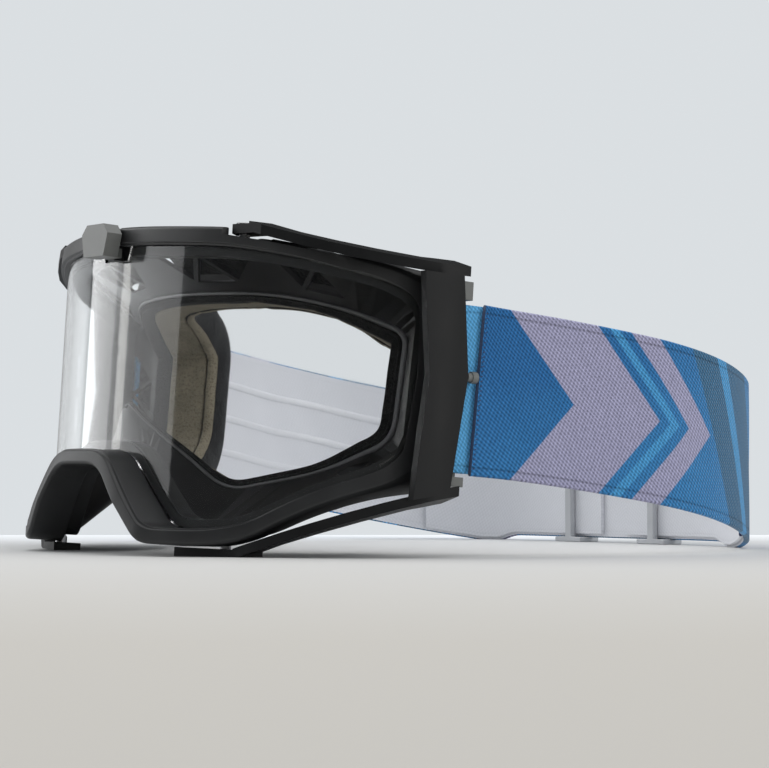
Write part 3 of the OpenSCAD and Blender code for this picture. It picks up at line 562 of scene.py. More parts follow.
def woven_elastic(name, plain=None, grain=1.0):
    """Woven elastic over a strap chart in metres, of one plain colour or printed with BANDS, with painted
    shade in the weave's low threads and in the groove by each hem.

    A chevron band lies between two values of u + 0.85 |v - half width|, a slanted one of u + 0.42 v."""
    f = Finish(name, PRINT["blue"], 0.85, Sheen_Weight=0.3, Sheen_Roughness=0.4, Specular_IOR_Level=0.2)
    u, v = f.chart("strap")
    weave = knitted(f, u, v)
    if plain:
        colour = f.mix(f.noise(30, 2), plain, tuple(c * 1.08 for c in plain))
    else:
        fade = f.total(u, 1, v, -0.9)
        cloud = f.remap(f.noise(26, 3), 0.3, 0.7, -0.12, 0.12)
        drift = f.maths("ADD", f.remap(fade, -0.03, 0.09, 0, 0.55), cloud, clamp=True)
        colour = f.mix(drift, PRINT["blue"], PRINT["sky"])
        mid = f.maths("ABSOLUTE", f.maths("SUBTRACT", v, STRAP_W * 0.0005))
        runs = {"chevron": f.total(u, 1, mid, 0.85), "slant": f.total(u, 1, v, 0.42)}
        for run, low, high, shade in BANDS:
            colour = f.mix(band(f, runs[run], low, high), colour, PRINT[shade])
    hem = f.maths("MINIMUM", v, f.maths("SUBTRACT", STRAP_W * 0.001, v))
    groove = band(f, hem, 0.0016, 0.0021, 0.0002)
    # Painted shade: the colour darkens in the weave's low threads and in the groove along each hem; the fine
    # noise adds a random tone
    weave_shade_and_tone = f.remap(weave, -0.8, 0.8, 1 - 0.42 * grain, 1 + 0.22 * grain)
    weave_shade_and_tone = f.maths("MULTIPLY", weave_shade_and_tone, f.remap(groove, 0, 1, 1, 1 - 0.3 * grain))
    weave_shade_and_tone = f.maths("MULTIPLY", weave_shade_and_tone, f.remap(f.noise(1100, 2), 0.3, 0.7, 1 - 0.12 * grain, 1 + 0.1 * grain))
    scale = f.node("VectorMath", colour)
    scale.operation = "SCALE"
    f.put(scale.inputs[3], weave_shade_and_tone)
    f.colour(scale.outputs[0])
    f.bump(weave, 0.7 * grain, 0.0002)
    f.bump(f.maths("SUBTRACT", 1.0, groove), 0.6 * grain, 0.0003)
    return f.material


def clear_polycarbonate(name, shine):
    """Clear lens face: faintly smoky, very smooth, hazed by handling; shine scales how much it mirrors."""
    f = Finish(name, (0.97, 0.975, 0.975), 0.03, IOR=1.5, Specular_Tint=(shine, shine, shine, 1))
    f.shader.inputs["Transmission Weight"].default_value = 1.0
    f.rough(f.remap(f.noise(40, 3), 0.3, 0.8, 0.015, 0.05))
    return f.material


def metal_pin():
    """Turned steel: fine rings round the pin and small dents."""
    f = Finish("turned_steel", (0.42, 0.42, 0.43), 0.35, Metallic=1.0)
    f.rough(f.remap(f.noise(700, 3, stretch=(1, 1, 12)), 0.3, 0.7, 0.25, 0.45))
    f.bump(f.noise(900, 2, stretch=(1, 1, 10)), 0.1, 0.00005)
    return f.material


NYLON = moulded_nylon("charcoal_nylon", (0.015, 0.0153, 0.016), (0.022, 0.0225, 0.0235), 0.42)
INNER = moulded_nylon("inner_frame_nylon", (0.015, 0.014, 0.0145), (0.028, 0.0265, 0.027), 0.36, 0.08, 0.3)
GREY = moulded_nylon("grey_nylon", (0.13, 0.133, 0.127), (0.165, 0.169, 0.161), 0.45)
BUCKLE = moulded_nylon("buckle_nylon", (0.46, 0.47, 0.49), (0.55, 0.56, 0.58), 0.5, 0.1)
FOAM_FIRM = open_foam("firm_foam", (0.008, 0.0078, 0.0075), (0.032, 0.031, 0.030), 1500, 0.0004)
FOAM_SOFT = open_foam("soft_foam", (0.16, 0.14, 0.10), (0.37, 0.325, 0.24), 1300, 0.0004)
VENT_FOAM = open_foam("vent_foam", (0.003, 0.003, 0.003), (0.012, 0.012, 0.012), 900, 0.0006)
FLEECE = brushed_fleece("face_fleece", (0.010, 0.010, 0.0105), (0.036, 0.036, 0.038))
WEBBING = woven_elastic("printed_webbing")
LINING = woven_elastic("webbing_back", plain=(0.74, 0.745, 0.78), grain=0.12)
LOOP = woven_elastic("loop_webbing", plain=(0.11, 0.40, 0.72), grain=0.8)
STEEL = metal_pin()
LENS = clear_polycarbonate("clear_lens", 1.0)
LENS_INSIDE = clear_polycarbonate("anti_fog_face", 0.0)
# A pale finish for the flange bead: a painted highlight along the inner lip where the wall meets the foam
LIP_HIGHLIGHT = moulded_nylon("flange_bead_painted_highlight", (0.09, 0.088, 0.09), (0.13, 0.127, 0.13), 0.32, 0.05)
ARM = moulded_nylon("arm_nylon", (0.0085, 0.0087, 0.0092), (0.0125, 0.0128, 0.0135), 0.46, level=0.2)
SEAL = moulded_nylon("seal_rubber", (0.012, 0.012, 0.012), (0.02, 0.02, 0.02), 0.6)


def silicone_bead():
    """Pale silicone: a satin skin whose roughness and relief follow noise."""
    f = Finish("silicone", (0.76, 0.765, 0.795), 0.6)
    f.rough(f.remap(f.noise(500, 3), 0.3, 0.7, 0.25, 0.42))
    f.bump(f.noise(800, 3), 0.2, 0.0001)
    return f.material


def sewing_thread(name, colour):
    """Twisted thread: fine relief and a shade that varies by a fifth."""
    f = Finish(name, colour, 0.6, Sheen_Weight=0.4)
    f.bump(f.noise(3000, 2, stretch=(1, 1, 3)), 0.6, 0.0001)
    f.colour(f.mix(f.noise(900, 2), tuple(c * 0.8 for c in colour), colour))
    return f.material


SILICONE = silicone_bead()
NAVY_THREAD = sewing_thread("navy_thread", PRINT["navy"])


def dress(piece, material, body):
    """Gives a piece its finish and the body it rides on."""
    piece.data.materials.clear()
    piece.data.materials.append(material)
    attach(piece, body)
    return piece


# Rim

def rim_piece():
    """The rim: one stepped section of eleven points, between the opening and its widened outlines.

    Each point's depth is the curve's at that point of the outline, plus the point's own."""
    inner, outer, ledge, rear = opening(0), opening(EDGE_WIDTH), opening(-LEDGE_W), opening(REAR_WIDTH)
    width = np.linalg.norm(outer - inner, axis=1)[:, None]

    def between(w):
        """The opening moved a width w towards the outer edge."""
        return inner + (outer - inner) * (w / width)

    def short_of(w):
        """The outer edge moved a width w towards the opening."""
        return outer + (inner - outer) * (w / width)

    end = SIDE_DEPTH
    p = [between(0.7), short_of(0.7), outer, outer, rear, rear, ledge, ledge, inner, inner, between(0.5)]
    y = [front_depth(p[0], 0, end - 2.2), front_depth(p[1], 0, end - 2.0),
         front_depth(p[2], 0.8, end - 1.6), rim_depth(p[3], RIM_FRONT, end - 0.9),
         rim_depth(p[4], RIM_FRONT, end - 0.8), rim_depth(p[5], RIM_DEPTH), rim_depth(p[6], RIM_DEPTH),
         rim_depth(p[7], SEAT_DEPTH, end - 0.6), rim_depth(p[8], SEAT_DEPTH, end - 0.6),
         front_depth(p[9], 1.0, end - 1.2), front_depth(p[10], 0.85, end - 1.8)]
    rows = np.stack([with_y(a, b) for a, b in zip(p, y)], 1)
    rows = soften(rows, [0.25, 0.4, 0.4, 0.3, 0.2, 0.4, 0.3, 0.3, 0, 0.15, 0.1])
    return ring_piece("rim", leaned(rows))


def arm_seats():
    """Prisms over the plan of each upper arm that cut its seat in the rim.

    Their floor is level above the brow and falls by ARM_SLOPE past ARM_BEND, just under the arm."""
    angle = np.radians([73.0, 60.0, 48.0, 37.0])
    proud = SIDE_R + np.array([-1.3, -2.7, -3.7, -4.4])
    rear = SIDE_C + proud[:, None] * np.stack([np.sin(angle), -np.cos(angle)], -1)
    x, y = np.vstack([[[43.2, -5], [52, -5], [84, -5]], rear,
                      [[52, 20.6], [47.5, 20.6], [40.4, 20.1], [40.5, 15.0], [41.4, 12.8], [43.2, 11.0]]]).T
    fall, lift = ARM_SLOPE * np.maximum(x - ARM_BEND, 0), 0.02 * np.maximum(y - 14, 0) * (x > ARM_BEND)
    low = ARM_FLOOR - fall + lift
    high = np.full(len(x), 60.0)
    return [run_piece("arm seat", leaned([np.stack([side * x, y, z], -1) for z in (low, high)]))
            for side in (-1, 1)]


def block(name, low, high):
    """A box cutter between two corners: each point takes its x, y and z from one of them."""
    low, high = np.array(low, float), np.array(high, float)
    x, y = np.array([[0, 1, 1, 0, 0, 1, 1, 0], [0, 0, 1, 1, 0, 0, 1, 1]])
    corner = np.stack([x, y, np.repeat([0, 1], 4)], -1)
    faces = [[0, 3, 2, 1], [4, 5, 6, 7], [0, 1, 5, 4], [1, 2, 6, 5], [2, 3, 7, 6], [3, 0, 4, 7]]
    return make_piece(name, leaned(low + corner * (high - low)), [np.array(faces)])


rim = trimmed(rim_piece(), [block("latch pocket", [-4.3, -3, 31], [4.3, 7.3, 50])] + arm_seats())
dress(rim, NYLON, "goggle_frame")
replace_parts(rim, "outer_frame")


# Lens

def lens_outline():
    """The lens's edge: the opening less its gap, with a notch at the top that clears the latch."""
    p = opening(-LENS_GAP)
    keep = ~((np.abs(p[:, 0]) < NOTCH_HALF + 0.8) & (p[:, 1] > 30))
    p = np.roll(p, -np.argmax(keep & ~np.roll(keep, 1)), 0)
    p = p[: keep.sum()]
    floor = np.stack([[-6.2, -3, 0, 3, 6.2], np.full(5, NOTCH_Z)], -1)
    return np.vstack([p, [[-NOTCH_HALF, NOTCH_Z + 4]], floor, [[NOTCH_HALF, NOTCH_Z + 4]]])


def lens_piece():
    """The lens: rings m + (edge - m) share from its edge to the point m, laid on two depths of the curve."""
    share = np.linspace(1, 0, 40)[:-1, None, None] ** 0.8
    flat = LENS_MIDDLE + (lens_outline() - LENS_MIDDLE) * share
    n, k = flat.shape[:2]

    def laid(deep, stop):
        """The flat rings at a depth behind the curve's front, no further back than the stop."""
        y = np.minimum(curve_depth(flat[..., 0], deep), stop)
        return np.stack([flat[..., 0], y, flat[..., 1]], -1).reshape(-1, 3)

    tip = [[0, LENS_IN, LENS_MIDDLE[1]], [0, LENS_IN + LENS_T, LENS_MIDDLE[1]]]
    points = np.vstack([laid(LENS_IN, SIDE_DEPTH - 0.9), laid(LENS_IN + LENS_T, SIDE_DEPTH - 0.1), tip])
    j = np.arange(k)
    front, back = grid_faces(n, k, False, True), grid_faces(n, k, False, True, n * k)[:, ::-1]
    edge_faces = np.stack([j, n * k + j, n * k + (j + 1) % k, (j + 1) % k], -1)
    last = (n - 1) * k
    fan = np.stack([np.full(k, 2 * n * k), last + j, last + (j + 1) % k], -1)
    fan_back = np.stack([np.full(k, 2 * n * k + 1), n * k + last + (j + 1) % k, n * k + last + j], -1)
    return make_piece("lens_sheet", leaned(points), [front, back, edge_faces, fan, fan_back], sharp=40)


lens = lens_piece()
dress(lens, LENS, "lens_sheet")
# The face towards the wearer has the anti-fog coat, which hardly mirrors
lens.data.materials.append(LENS_INSIDE)
facing = np.empty(len(lens.data.polygons) * 3)
lens.data.polygons.foreach_get("normal", facing)
lens.data.polygons.foreach_set("material_index", (facing.reshape(-1, 3)[:, 1] > 0.1).astype(int))
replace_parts(lens, "lens")


# Inner frame

inner = bevelled("inner_frame", "inner_frame_shell", 0.18)
dress(inner, INNER, "goggle_frame")


def bead_ring(name, out, back, size, material):
    """A round bead along the flange: face_at(out + size cos t, back + size sin t) for t once round."""
    turn = np.linspace(0, 2 * math.pi, 12, endpoint=False)
    rows = [face_at(out + size * math.cos(t), back + size * math.sin(t)) for t in turn]
    return dress(ring_piece(name, leaned(np.stack(rows, 1)), sharp=None), material, "goggle_frame")


# The pale bead along the flange's lip is a painted highlight line
bead_ring("flange_bead", -1.0, -0.35, 0.5, LIP_HIGHLIGHT)
bead_ring("foam_glue_line", -1.9, 0.05, 0.28, FOAM_FIRM)


# Foam

def wavy(count, seed, size):
    """A small closed wave round the ring: half the sum of a sin(k turn + b), with seeded a and b."""
    rng = np.random.default_rng(seed)
    turn = np.linspace(0, 2 * math.pi, count, endpoint=False)
    waves = (rng.uniform(-1, 1) * np.sin(k * turn + rng.uniform(0, 6.28)) for k in (5, 9, 14, 23, 37))
    return size * sum(waves) / 2


def nicked(seed, count, size):
    """Small nicks along a cut foam edge: the sum of depth exp(-(away / width)^2) at seeded places."""
    rng = np.random.default_rng(seed)
    place, width = rng.uniform(0, COUNT, count), rng.uniform(0.5, 1.1, count)
    depth = rng.uniform(0.3, 1.0, count)
    away = np.abs(np.arange(COUNT)[:, None] - place)
    return size * (depth * np.exp(-(np.minimum(away, COUNT - away) / width) ** 2)).sum(1)


def foam_piece(name, near, far, seed):
    """A foam layer: a section between two depths behind the flange, its sides moved by waves and nicks."""
    a, b = wavy(COUNT, seed, 0.10) + nicked(seed + 20, 9, 0.5), wavy(COUNT, seed + 1, 0.12)
    half = (near + far) / 2
    rows = [face_at(-FOAM_IN + a, near), face_at(FOAM_OUT + b, near), face_at(FOAM_OUT + 0.1 + b, half),
            face_at(FOAM_OUT + b, far), face_at(-FOAM_IN + a, far), face_at(-FOAM_IN - 0.1 + a, half)]
    return ring_piece(name, leaned(soften(np.stack(rows, 1), [0.3, 0.5, 0, 0.5, 0.3, 0])), sharp=50)


def fleece_piece():
    """The fleece: nine points round a section that rises to FLEECE_T in the middle and draws in below."""
    near, t = FLEECE_NEAR, FLEECE_T
    a, b = wavy(COUNT, 11, 0.15), wavy(COUNT, 12, 0.15)
    rows = [face_at(0.1 - FOAM_IN + a, near), face_at(FOAM_OUT - 0.1 + b, near),
            face_at(FOAM_OUT + 0.5 + b, near + 0.3 * t), face_at(FOAM_OUT - 0.4 + b, near + 0.66 * t),
            face_at(FOAM_OUT - 3 + b, near + 0.92 * t),
            face_at((FOAM_OUT - FOAM_IN) / 2, near + t + wavy(COUNT, 13, 0.1)),
            face_at(3 - FOAM_IN + a, near + 0.92 * t), face_at(0.4 - FOAM_IN + a, near + 0.66 * t),
            face_at(-0.5 - FOAM_IN + a, near + 0.3 * t)]
    rows = soften(np.stack(rows, 1), FLEECE_ROUND)
    return ring_piece("face_fleece", leaned(rows), sharp=None)


for piece, material, slot, node in (
        (foam_piece("foam_firm", 0.1, 4.0, 1), FOAM_FIRM, "foam_firm", "foam_base"),
        (foam_piece("foam_soft", 4.1, 13.0, 3), FOAM_SOFT, "foam_soft", "foam_middle"),
        (fleece_piece(), FLEECE, "fleece", "foam_fleece")):
    dress(piece, material, "goggle_frame")
    if node == "foam_fleece":
        # The foam under the fleece shows on the ring's inner side, the last 7 of a section's 36 faces
        piece.data.materials.append(FOAM_SOFT)
        place = np.arange(len(piece.data.polygons)) % 36
        piece.data.polygons.foreach_set("material_index", (place >= 29).astype(int))
    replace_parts(piece, node)


# Strap

def side_line(t):
    """The strap's straight side seen from above: start + (end - start) t."""
    return SIDE_START + (SIDE_END - SIDE_START) * np.asarray(t)[:, None]


def bend(t):
    """The strap's turn seen from above: a cubic curve of four points, from the side to the rear."""
    p = np.array([SIDE_END, [STRAP_X + 17.2, 153], [REAR_HALF + 35.5, STRAP_REAR], [REAR_HALF, STRAP_REAR]])
    t = np.asarray(t)[:, None]
    return (1 - t) ** 3 * p[0] + 3 * (1 - t) ** 2 * t * p[1] + 3 * (1 - t) * t * t * p[2] + t**3 * p[3]


def resampled(line, pitch):
    """The same line with points an even distance apart, each found by its length along the line."""
    d = np.concatenate([[0], np.cumsum(np.linalg.norm(np.diff(line, axis=0), axis=1))])
    s = np.linspace(0, d[-1], max(2, int(round(d[-1] / pitch)) + 1))
    return np.stack([np.interp(s, d, line[:, 0]), np.interp(s, d, line[:, 1])], -1), s


def sideways(line):
    """Unit normal (d.y, -d.x) of a plan line with direction d, on the wearer's outer side."""
    d = np.gradient(line, axis=0)
    return np.stack([d[:, 1], -d[:, 0]], -1) / np.linalg.norm(d, axis=1)[:, None]


def beside(line, off, height):
    """Sections along a plan line: each point lies off sideways from the line, at its height."""
    xy = line[:, None, :] + sideways(line)[:, None, :] * off[..., None]
    return np.concatenate([xy, np.broadcast_to(height, xy.shape[:2])[..., None]], -1)


START_Z = REST_H - BAR_Y * math.sin(LEAN) - STRAP_W / 2
FLAT_Y = STRAP_REAR - 6


def hem_height(y, z):
    """Height of the strap at z up its width: START_Z (1 - 0.56u - 0.44uu) + z, u from the bar to the table.

    At the adjusters both edges also draw in by GATHER (1 - 2z / STRAP_W)."""
    u = np.clip((y - BAR_Y) / (FLAT_Y - BAR_Y), 0, 1)
    drawn = smooth_share(y, GATHER_START, GATHER_END)
    return START_Z * (1 - 0.56 * u - 0.44 * u * u) + z + drawn * GATHER * (1 - 2 * z / STRAP_W)


def webbing_rows(line, s, near, far, low, high):
    """Sections of webbing along a plan line: two faces and rounded selvedges, between two offsets from it.

    They ripple by 0.1 sin(s / 2.9 + 0.15z) sin(s / 17 + 0.9), fading to both edges as half a sine."""
    z = np.linspace(low, high, ACROSS)
    t = (far - near) / 2
    round_edge = np.linspace(0.35, math.pi - 0.35, 5)
    curl, side = np.sin(round_edge) * t * 0.8, np.cos(round_edge) * t
    off = np.concatenate([np.full(ACROSS, t), side, np.full(ACROSS, -t), -side])
    zz = np.concatenate([z, high + curl - 0.3 * t, z[::-1], low - curl + 0.3 * t])
    ripple = 0.10 * np.sin(s[:, None] / 2.9 + 0.15 * zz) * np.sin(s[:, None] / 17.0 + 0.9)
    ripple = ripple * np.sin(math.pi * (zz - low) / (high - low))
    rows = beside(line, (near + far) / 2 + off + ripple, hem_height(line[:, 1][:, None], zz))
    chart = np.broadcast_arrays(s[:, None] * 0.001, np.clip(zz, 0, STRAP_W)[None, :] * 0.001)
    return rows, np.stack(chart, -1)


def strap_half(side):
    """One half of the strap, from its sewn front end to the middle of the rear.

    The cut end leans: y moves by SEAM_LEAN (z / half width - 1), fading with the square over SEAM_RUN."""
    line = np.vstack([side_line(np.linspace(0, 1, 40)), bend(np.linspace(0, 1, 90))[1:], [[0, STRAP_REAR]]])
    line, s = resampled(line, 1.1)
    rows, chart = webbing_rows(line, s, -STRAP_T / 2, STRAP_T / 2, 0, STRAP_W)
    fade = np.clip(1 - s / SEAM_RUN, 0, 1)[:, None] ** 2
    rows[..., 1] += SEAM_LEAN * fade * (chart[..., 1] * 2000 / STRAP_W - 1)
    rows[..., 0] *= side
    return rows, chart, s[-1]


def lined(piece, shape, face_material, back_material):
    """Gives webbing its finishes: the back by a face's place in the section, thread at the end."""
    for material in (face_material, back_material, NAVY_THREAD):
        piece.data.materials.append(material)
    n, k = shape
    place = np.tile(np.arange(k), n - 1)
    index = np.zeros(len(piece.data.polygons), int)
    index[: len(place)] = (place >= ACROSS + 4) & (place < 2 * ACROSS + 5)
    index[len(place): len(place) + k] = 2
    piece.data.polygons.foreach_set("material_index", index)


for side, label in SIDES:
    rows, chart, length = strap_half(side)
    strap = run_piece("strap_" + label + "_half", level(rows), {"strap": chart}, sharp=60)
    lined(strap, rows.shape[:2], WEBBING, LINING)
    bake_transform(strap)
    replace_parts(strap, "strap_end_" + label, "strap_main")

    # The doubled end inside the strap
    line, s = resampled(np.vstack([bend(np.linspace(9 / 16, 1, 60)), [[TAIL_X, STRAP_REAR]]]), 1.1)
    near = -STRAP_T / 2 - 0.1
    rows, chart = webbing_rows(line, s[::-1] + 150, near - TAIL_T, near, 1, STRAP_W - 1)
    rows[..., 0] *= side
    tail = run_piece("strap_tail_" + label + "_web", level(rows), {"strap": chart}, sharp=60)
    lined(tail, rows.shape[:2], LINING, LINING)
    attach(tail, "goggle_frame")
    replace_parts(tail, "strap_tail_" + label)


# Strap loops round the bars

def loop_rows(side):
    """The loop: a plan line out of the strap, round the bar in half a circle and back, LOOP_T thick."""
    r = BAR_R + 0.15 + LOOP_T / 2
    way = sideways(side_line(np.array([0.0, 1.0])))[0]
    out = -STRAP_T / 2 - 0.7 - LOOP_T / 2
    back = side_line(np.array([0.14, 0.06]))
    turn = np.radians(np.linspace(180, 360, 25))
    arc = np.array([BAR_X, BAR_Y]) + r * np.stack([np.cos(turn), np.sin(turn)], -1)
    line, s = resampled(np.vstack([back + way * (out - LOOP_T - 0.06), arc, back[::-1] + way * out]), 0.7)
    half, t = STRAP_W / 2, LOOP_T / 2
    z = np.linspace(0.2 - half, half - 0.2, ACROSS)
    off = np.concatenate([np.full(ACROSS, t), [t / 2, 0, -t / 2], np.full(ACROSS, -t), [-t / 2, 0, t / 2]])
    zz = np.concatenate([z, [half, half + 0.05, half], z[::-1], [-half, -half - 0.05, -half]])
    rows = beside(line, off, zz)
    rows[..., 0] *= side
    chart = np.broadcast_arrays(s[:, None] * 0.001, (zz[None, :] + half) * 0.001)
    return rows, np.stack(chart, -1)


for side, label in SIDES:
    rows, chart = loop_rows(side)
    loop = run_piece("loop_" + label, leaned(rows), {"strap": chart}, sharp=60)
    dress(loop, LOOP, "outrigger_" + label)
    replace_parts(loop, "strap_loop_" + label)


# Sewing at the strap's front end

def stitches(name, starts, ends, r):
    """Many short stitches in one mesh: five rings of six points, spine + size r (cos t a + sin t b)."""
    starts, ends = np.asarray(starts, float), np.asarray(ends, float)
    count, way = len(starts), ends - starts
    way = way / np.linalg.norm(way, axis=1)[:, None]
    a = np.cross(way, [0.3, 0.9, 0.2])
    a /= np.linalg.norm(a, axis=1)[:, None]
    b = np.cross(way, a)
    t, turn = np.linspace(0, 1, 5), np.linspace(0, 2 * math.pi, 6, endpoint=False)
    size = r * np.array([0.35, 0.9, 1.0, 0.9, 0.35])
    ring = np.cos(turn)[None, :, None] * a[:, None, :] + np.sin(turn)[None, :, None] * b[:, None, :]
    spine = starts[:, None, :] + (ends - starts)[:, None, :] * t[None, :, None]
    points = spine[:, :, None, :] + size[None, :, None, None] * ring[:, None]
    first = (np.arange(count) * 30)[:, None]
    tubes = (first[:, :, None] + grid_faces(5, 6, False, True)[None]).reshape(-1, 4)
    caps = np.concatenate([first + np.arange(5, -1, -1), first + 24 + np.arange(6)])
    return make_piece(name, points, [tubes, caps])


for side, label in SIDES:
    # Dark stitches that hold the cut front edge
    z = np.arange(1.4, STRAP_W - 1.4, 1.3)
    lean_back = SEAM_LEAN * (2 * z / STRAP_W - 1)
    ends = []
    for x, y, up in ((STRAP_X + 0.98, 65.1, 0), (STRAP_X + 1.03, 65.9, 0.35)):
        end = np.stack([np.full(len(z), side * x), y + lean_back, hem_height(np.full(len(z), y), z + up)], -1)
        ends.append(level(end))
    seam = stitches("seam_edge_" + label, *ends, 0.00014)
    dress(seam, NAVY_THREAD, "outrigger_" + label)


# Silicone grip lines inside the strap

def grip_rows(line, s, share):
    """A flat bead at a share of the strap's width that waves by 0.25 sin(s / 6): half an oval in section."""
    turn = np.linspace(0, math.pi, 7)
    off = np.concatenate([-0.42 * np.sin(turn), [0.06, 0.06]]) - STRAP_T / 2
    zz = share * STRAP_W + np.concatenate([1.15 * np.cos(turn), [-1.15, 1.15]])
    return beside(line, off, hem_height(line[:, 1][:, None], zz + 0.25 * np.sin(s / 6.0)[:, None]))


for side, label in SIDES:
    # They run from behind the sewn seam to the middle of the bend
    seam_share = (MAIN_SEAM_Y - SIDE_START[1]) / (SIDE_END[1] - SIDE_START[1])
    straight = side_line(np.linspace(seam_share + (1 - seam_share) / 4, 1, 20))
    line, s = resampled(np.vstack([straight, bend(np.linspace(0, 0.5, 50))[1:]]), 1.2)
    rows = np.stack([grip_rows(line, s, share) for share in (0.25, 0.5, 0.75)]) * [side, 1, 1]
    n, k = rows.shape[1:3]
    faces = [grid_faces(n, k, False, True, i * n * k) for i in range(3)]
    grip = make_piece("grip_" + label, level(rows), [np.vstack(faces)], sharp=60)
    dress(grip, SILICONE, "goggle_frame")
    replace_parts(grip, "grip_lines_" + label)


# Rigid parts with rounded edges

# Node, piece, rounding in mm, finish, slot and body; a name with {} is there on both sides
RIGID = (("latch_clip", "latch", 0.35, GREY, "grey_plastic", "latch"),
         ("outrigger_{}", "outrigger_arm_{}", 0.4, ARM, "frame", "outrigger_{}"),
         ("strap_bar_{}", "bar_{}", 0.3, GREY, "grey_plastic", "outrigger_{}"),
         ("lock_stud_{}", "stud_{}", 0.3, GREY, "grey_plastic", "outrigger_{}"),
         ("slider_{}", "adjuster_frame_{}", 0.4, BUCKLE, "buckle", "adjuster_{}"),
         ("hinge_pin_upper_{}", "pin_upper_{}", 0.25, STEEL, "steel", "goggle_frame"),
         ("hinge_pin_lower_{}", "pin_lower_{}", 0.25, STEEL, "steel", "goggle_frame"),
         ("latch_pin", "pin_latch", 0.15, STEEL, "steel", "goggle_frame"),
         ("vent_foam_top", "vent_foam_upper", 0.3, VENT_FOAM, "vent_foam", "goggle_frame"),
         ("vent_foam_side", "vent_foam_sides", 0.3, VENT_FOAM, "vent_foam", "goggle_frame"),
         ("vent_foam_lower", "vent_foam_under", 0.3, VENT_FOAM, "vent_foam", "goggle_frame"),
         ("lens_seal", "seal", 0.12, SEAL, "seal", "goggle_frame"))

for node, name, width, material, slot, body in RIGID:
    for label in ("left", "right") if "{}" in node else ("",):
        piece = bevelled(node.format(label), name.format(label), width)
        dress(piece, material, body.format(label))


# Floor, backdrop, light and camera

VIEW = math.radians(54.0)


def table():
    """The table top, square to the camera: its far edge is 0.18 m beyond the middle of the goggles.

    Its colour is painted light: darker near the camera, paler with the distance along the view, and palest
    just before the far edge."""
    away, across = np.array([-math.sin(VIEW), math.cos(VIEW)]), np.array([0.5878, 0.809])
    middle = np.array([0, 60 - MID_Y]) * 0.001
    places = ((-1.6, -2.2), (-1.6, 2.2), (0.18, 2.2), (0.18, -2.2))
    corners = [middle + away * a + across * b for a, b in places]
    piece = make_piece("table", [[*c, 0] for c in corners], [np.array([[0, 1, 2, 3]])], outward=False)
    # Painted light on one table top: the near colour, the paler far colour and the palest band before the far
    # edge
    near, far, edge = (0.56, 0.53, 0.485), (0.65, 0.65, 0.648), (0.86, 0.87, 0.88)
    f = Finish("table", near, 0.85, Specular_IOR_Level=0.15)
    x, y = f.parts(f.place())[:2]
    along = f.total(y, 0.59, x, -0.81)
    drift = f.mix(f.remap(along, -0.45, 0.10), near, far)
    f.colour(f.mix(f.remap(along, 0.07, 0.155), drift, edge))
    piece.data.materials.append(f.material)


table()


def room_light():
    """A room that is plain light for matt surfaces, dark in mirrored ones, and a pale backdrop to the camera.

    The backdrop is also what shows through the lens."""
    world = bpy.data.worlds.new("pale room")
    bpy.context.scene.world = world
    world.use_nodes = True
    tree = world.node_tree

    def background(colour, strength):
        """An even background of one colour."""
        return new_node(tree, "Background", (*colour, 1), strength).outputs[0]

    def either(share, a, b):
        """Background a, or b where the share is 1."""
        return new_node(tree, "MixShader", share, a, b).outputs[0]

    path = new_node(tree, "LightPath").outputs
    sees = new_node(tree, "Math", path["Is Camera Ray"], path["Is Transmission Ray"])
    sees.operation = "MAXIMUM"
    plain, dark = background((0.86, 0.93, 1.0), 0.42), background((0.9, 0.95, 1.0), 0.06)
    seen = background((0.705, 0.738, 0.762), 1.0)
    room = either(path["Is Glossy Ray"], plain, dark)
    feed(tree, tree.nodes["World Output"].inputs["Surface"], either(sees.outputs[0], room, seen))


room_light()


def softbox(name, place, size, watts, colour=(1, 1, 1), aim=(0, 0, 0.06)):
    """A rectangular lamp at a place that shines at its aim."""
    lamp = bpy.data.lights.new(name, "AREA")
    lamp.shape, lamp.energy, lamp.color = "RECTANGLE", watts, colour
    lamp.size, lamp.size_y = size
    holder = added(name, lamp)
    holder.location = place
    holder.rotation_euler = (Vector(aim) - Vector(place)).to_track_quat("-Z", "Y").to_euler()


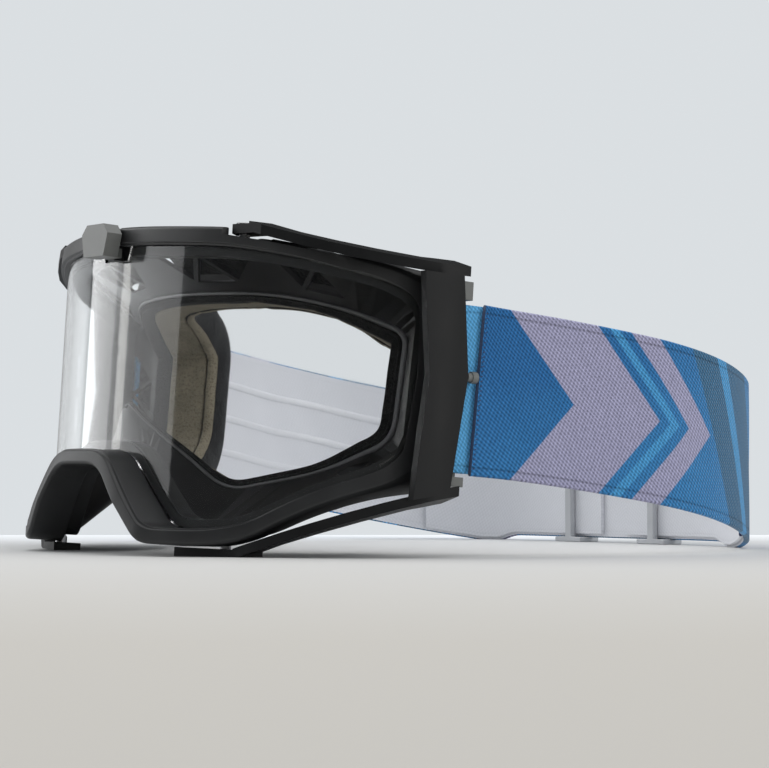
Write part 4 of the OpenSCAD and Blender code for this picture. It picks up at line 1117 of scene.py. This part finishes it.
def around(azimuth, distance, height):
    """(d sin a, -d cos a, height): the azimuth a is 0 straight in front and grows towards +X."""
    a = math.radians(azimuth)
    return (distance * math.sin(a), -distance * math.cos(a), height)


COOL = (0.98, 0.99, 1.0)
softbox("front left window", around(-40.4, 2.0, 0.25), (1.17, 1.9), 11.0, COOL)
softbox("bright strip", around(-65.5, 2.0, 0.3), (0.62, 1.9), 10.0, COOL)
softbox("side window", around(-95.5, 2.0, 0.3), (1.42, 1.9), 3.2, COOL)
softbox("narrow window", around(-51, 1.95, 0.30), (0.16, 0.9), 1.2, (1.0, 1.0, 0.97))
softbox("upper left", around(-62, 1.3, 1.3), (0.9, 0.9), 8.0, (0.99, 1.0, 1.0))
softbox("ceiling", (0.1, 0.2, 1.6), (1.6, 1.6), 17.0, aim=(0, 0.05, 0.03))
softbox("strap fill", (1.45, 0.55, 0.5), (0.7, 0.9), 7.5, (1.0, 0.99, 0.97), (0.08, 0.12, 0.04))


def photo_camera():
    """A camera 0.8 m from the goggles, on the line of view d = (-sin a cos p, cos a cos p, -sin p).

    Its other axes are r = (cos a, sin a, 0) and u = r x d; the focal length is in pixels, 769 to the view."""
    pitch, distance, focal, wide = math.radians(-1.8), 800.0, 2740.0, 769
    d = np.array([-math.sin(VIEW) * math.cos(pitch), math.cos(VIEW) * math.cos(pitch), -math.sin(pitch)])
    r = np.array([math.cos(VIEW), math.sin(VIEW), 0])
    u = np.cross(r, d)
    rise = 22.0 - distance * math.sin(pitch) + (REST_H - 48.0)
    place = np.array([0, 60.0, 0]) + 30.4 * r + [0, 0, rise] - distance * d
    data = bpy.data.cameras.new("camera")
    data.sensor_width, data.lens = 36.0, focal / wide * 36
    data.clip_start, data.clip_end = 0.05, 20
    camera = added("camera", data)
    turn = Matrix(np.stack([r, u, -d], 1).tolist()).to_4x4()
    camera.matrix_world = Matrix.Translation(level(place).tolist()) @ turn
    bpy.context.scene.camera = camera


photo_camera()
bpy.context.scene.view_settings.view_transform = "Standard"
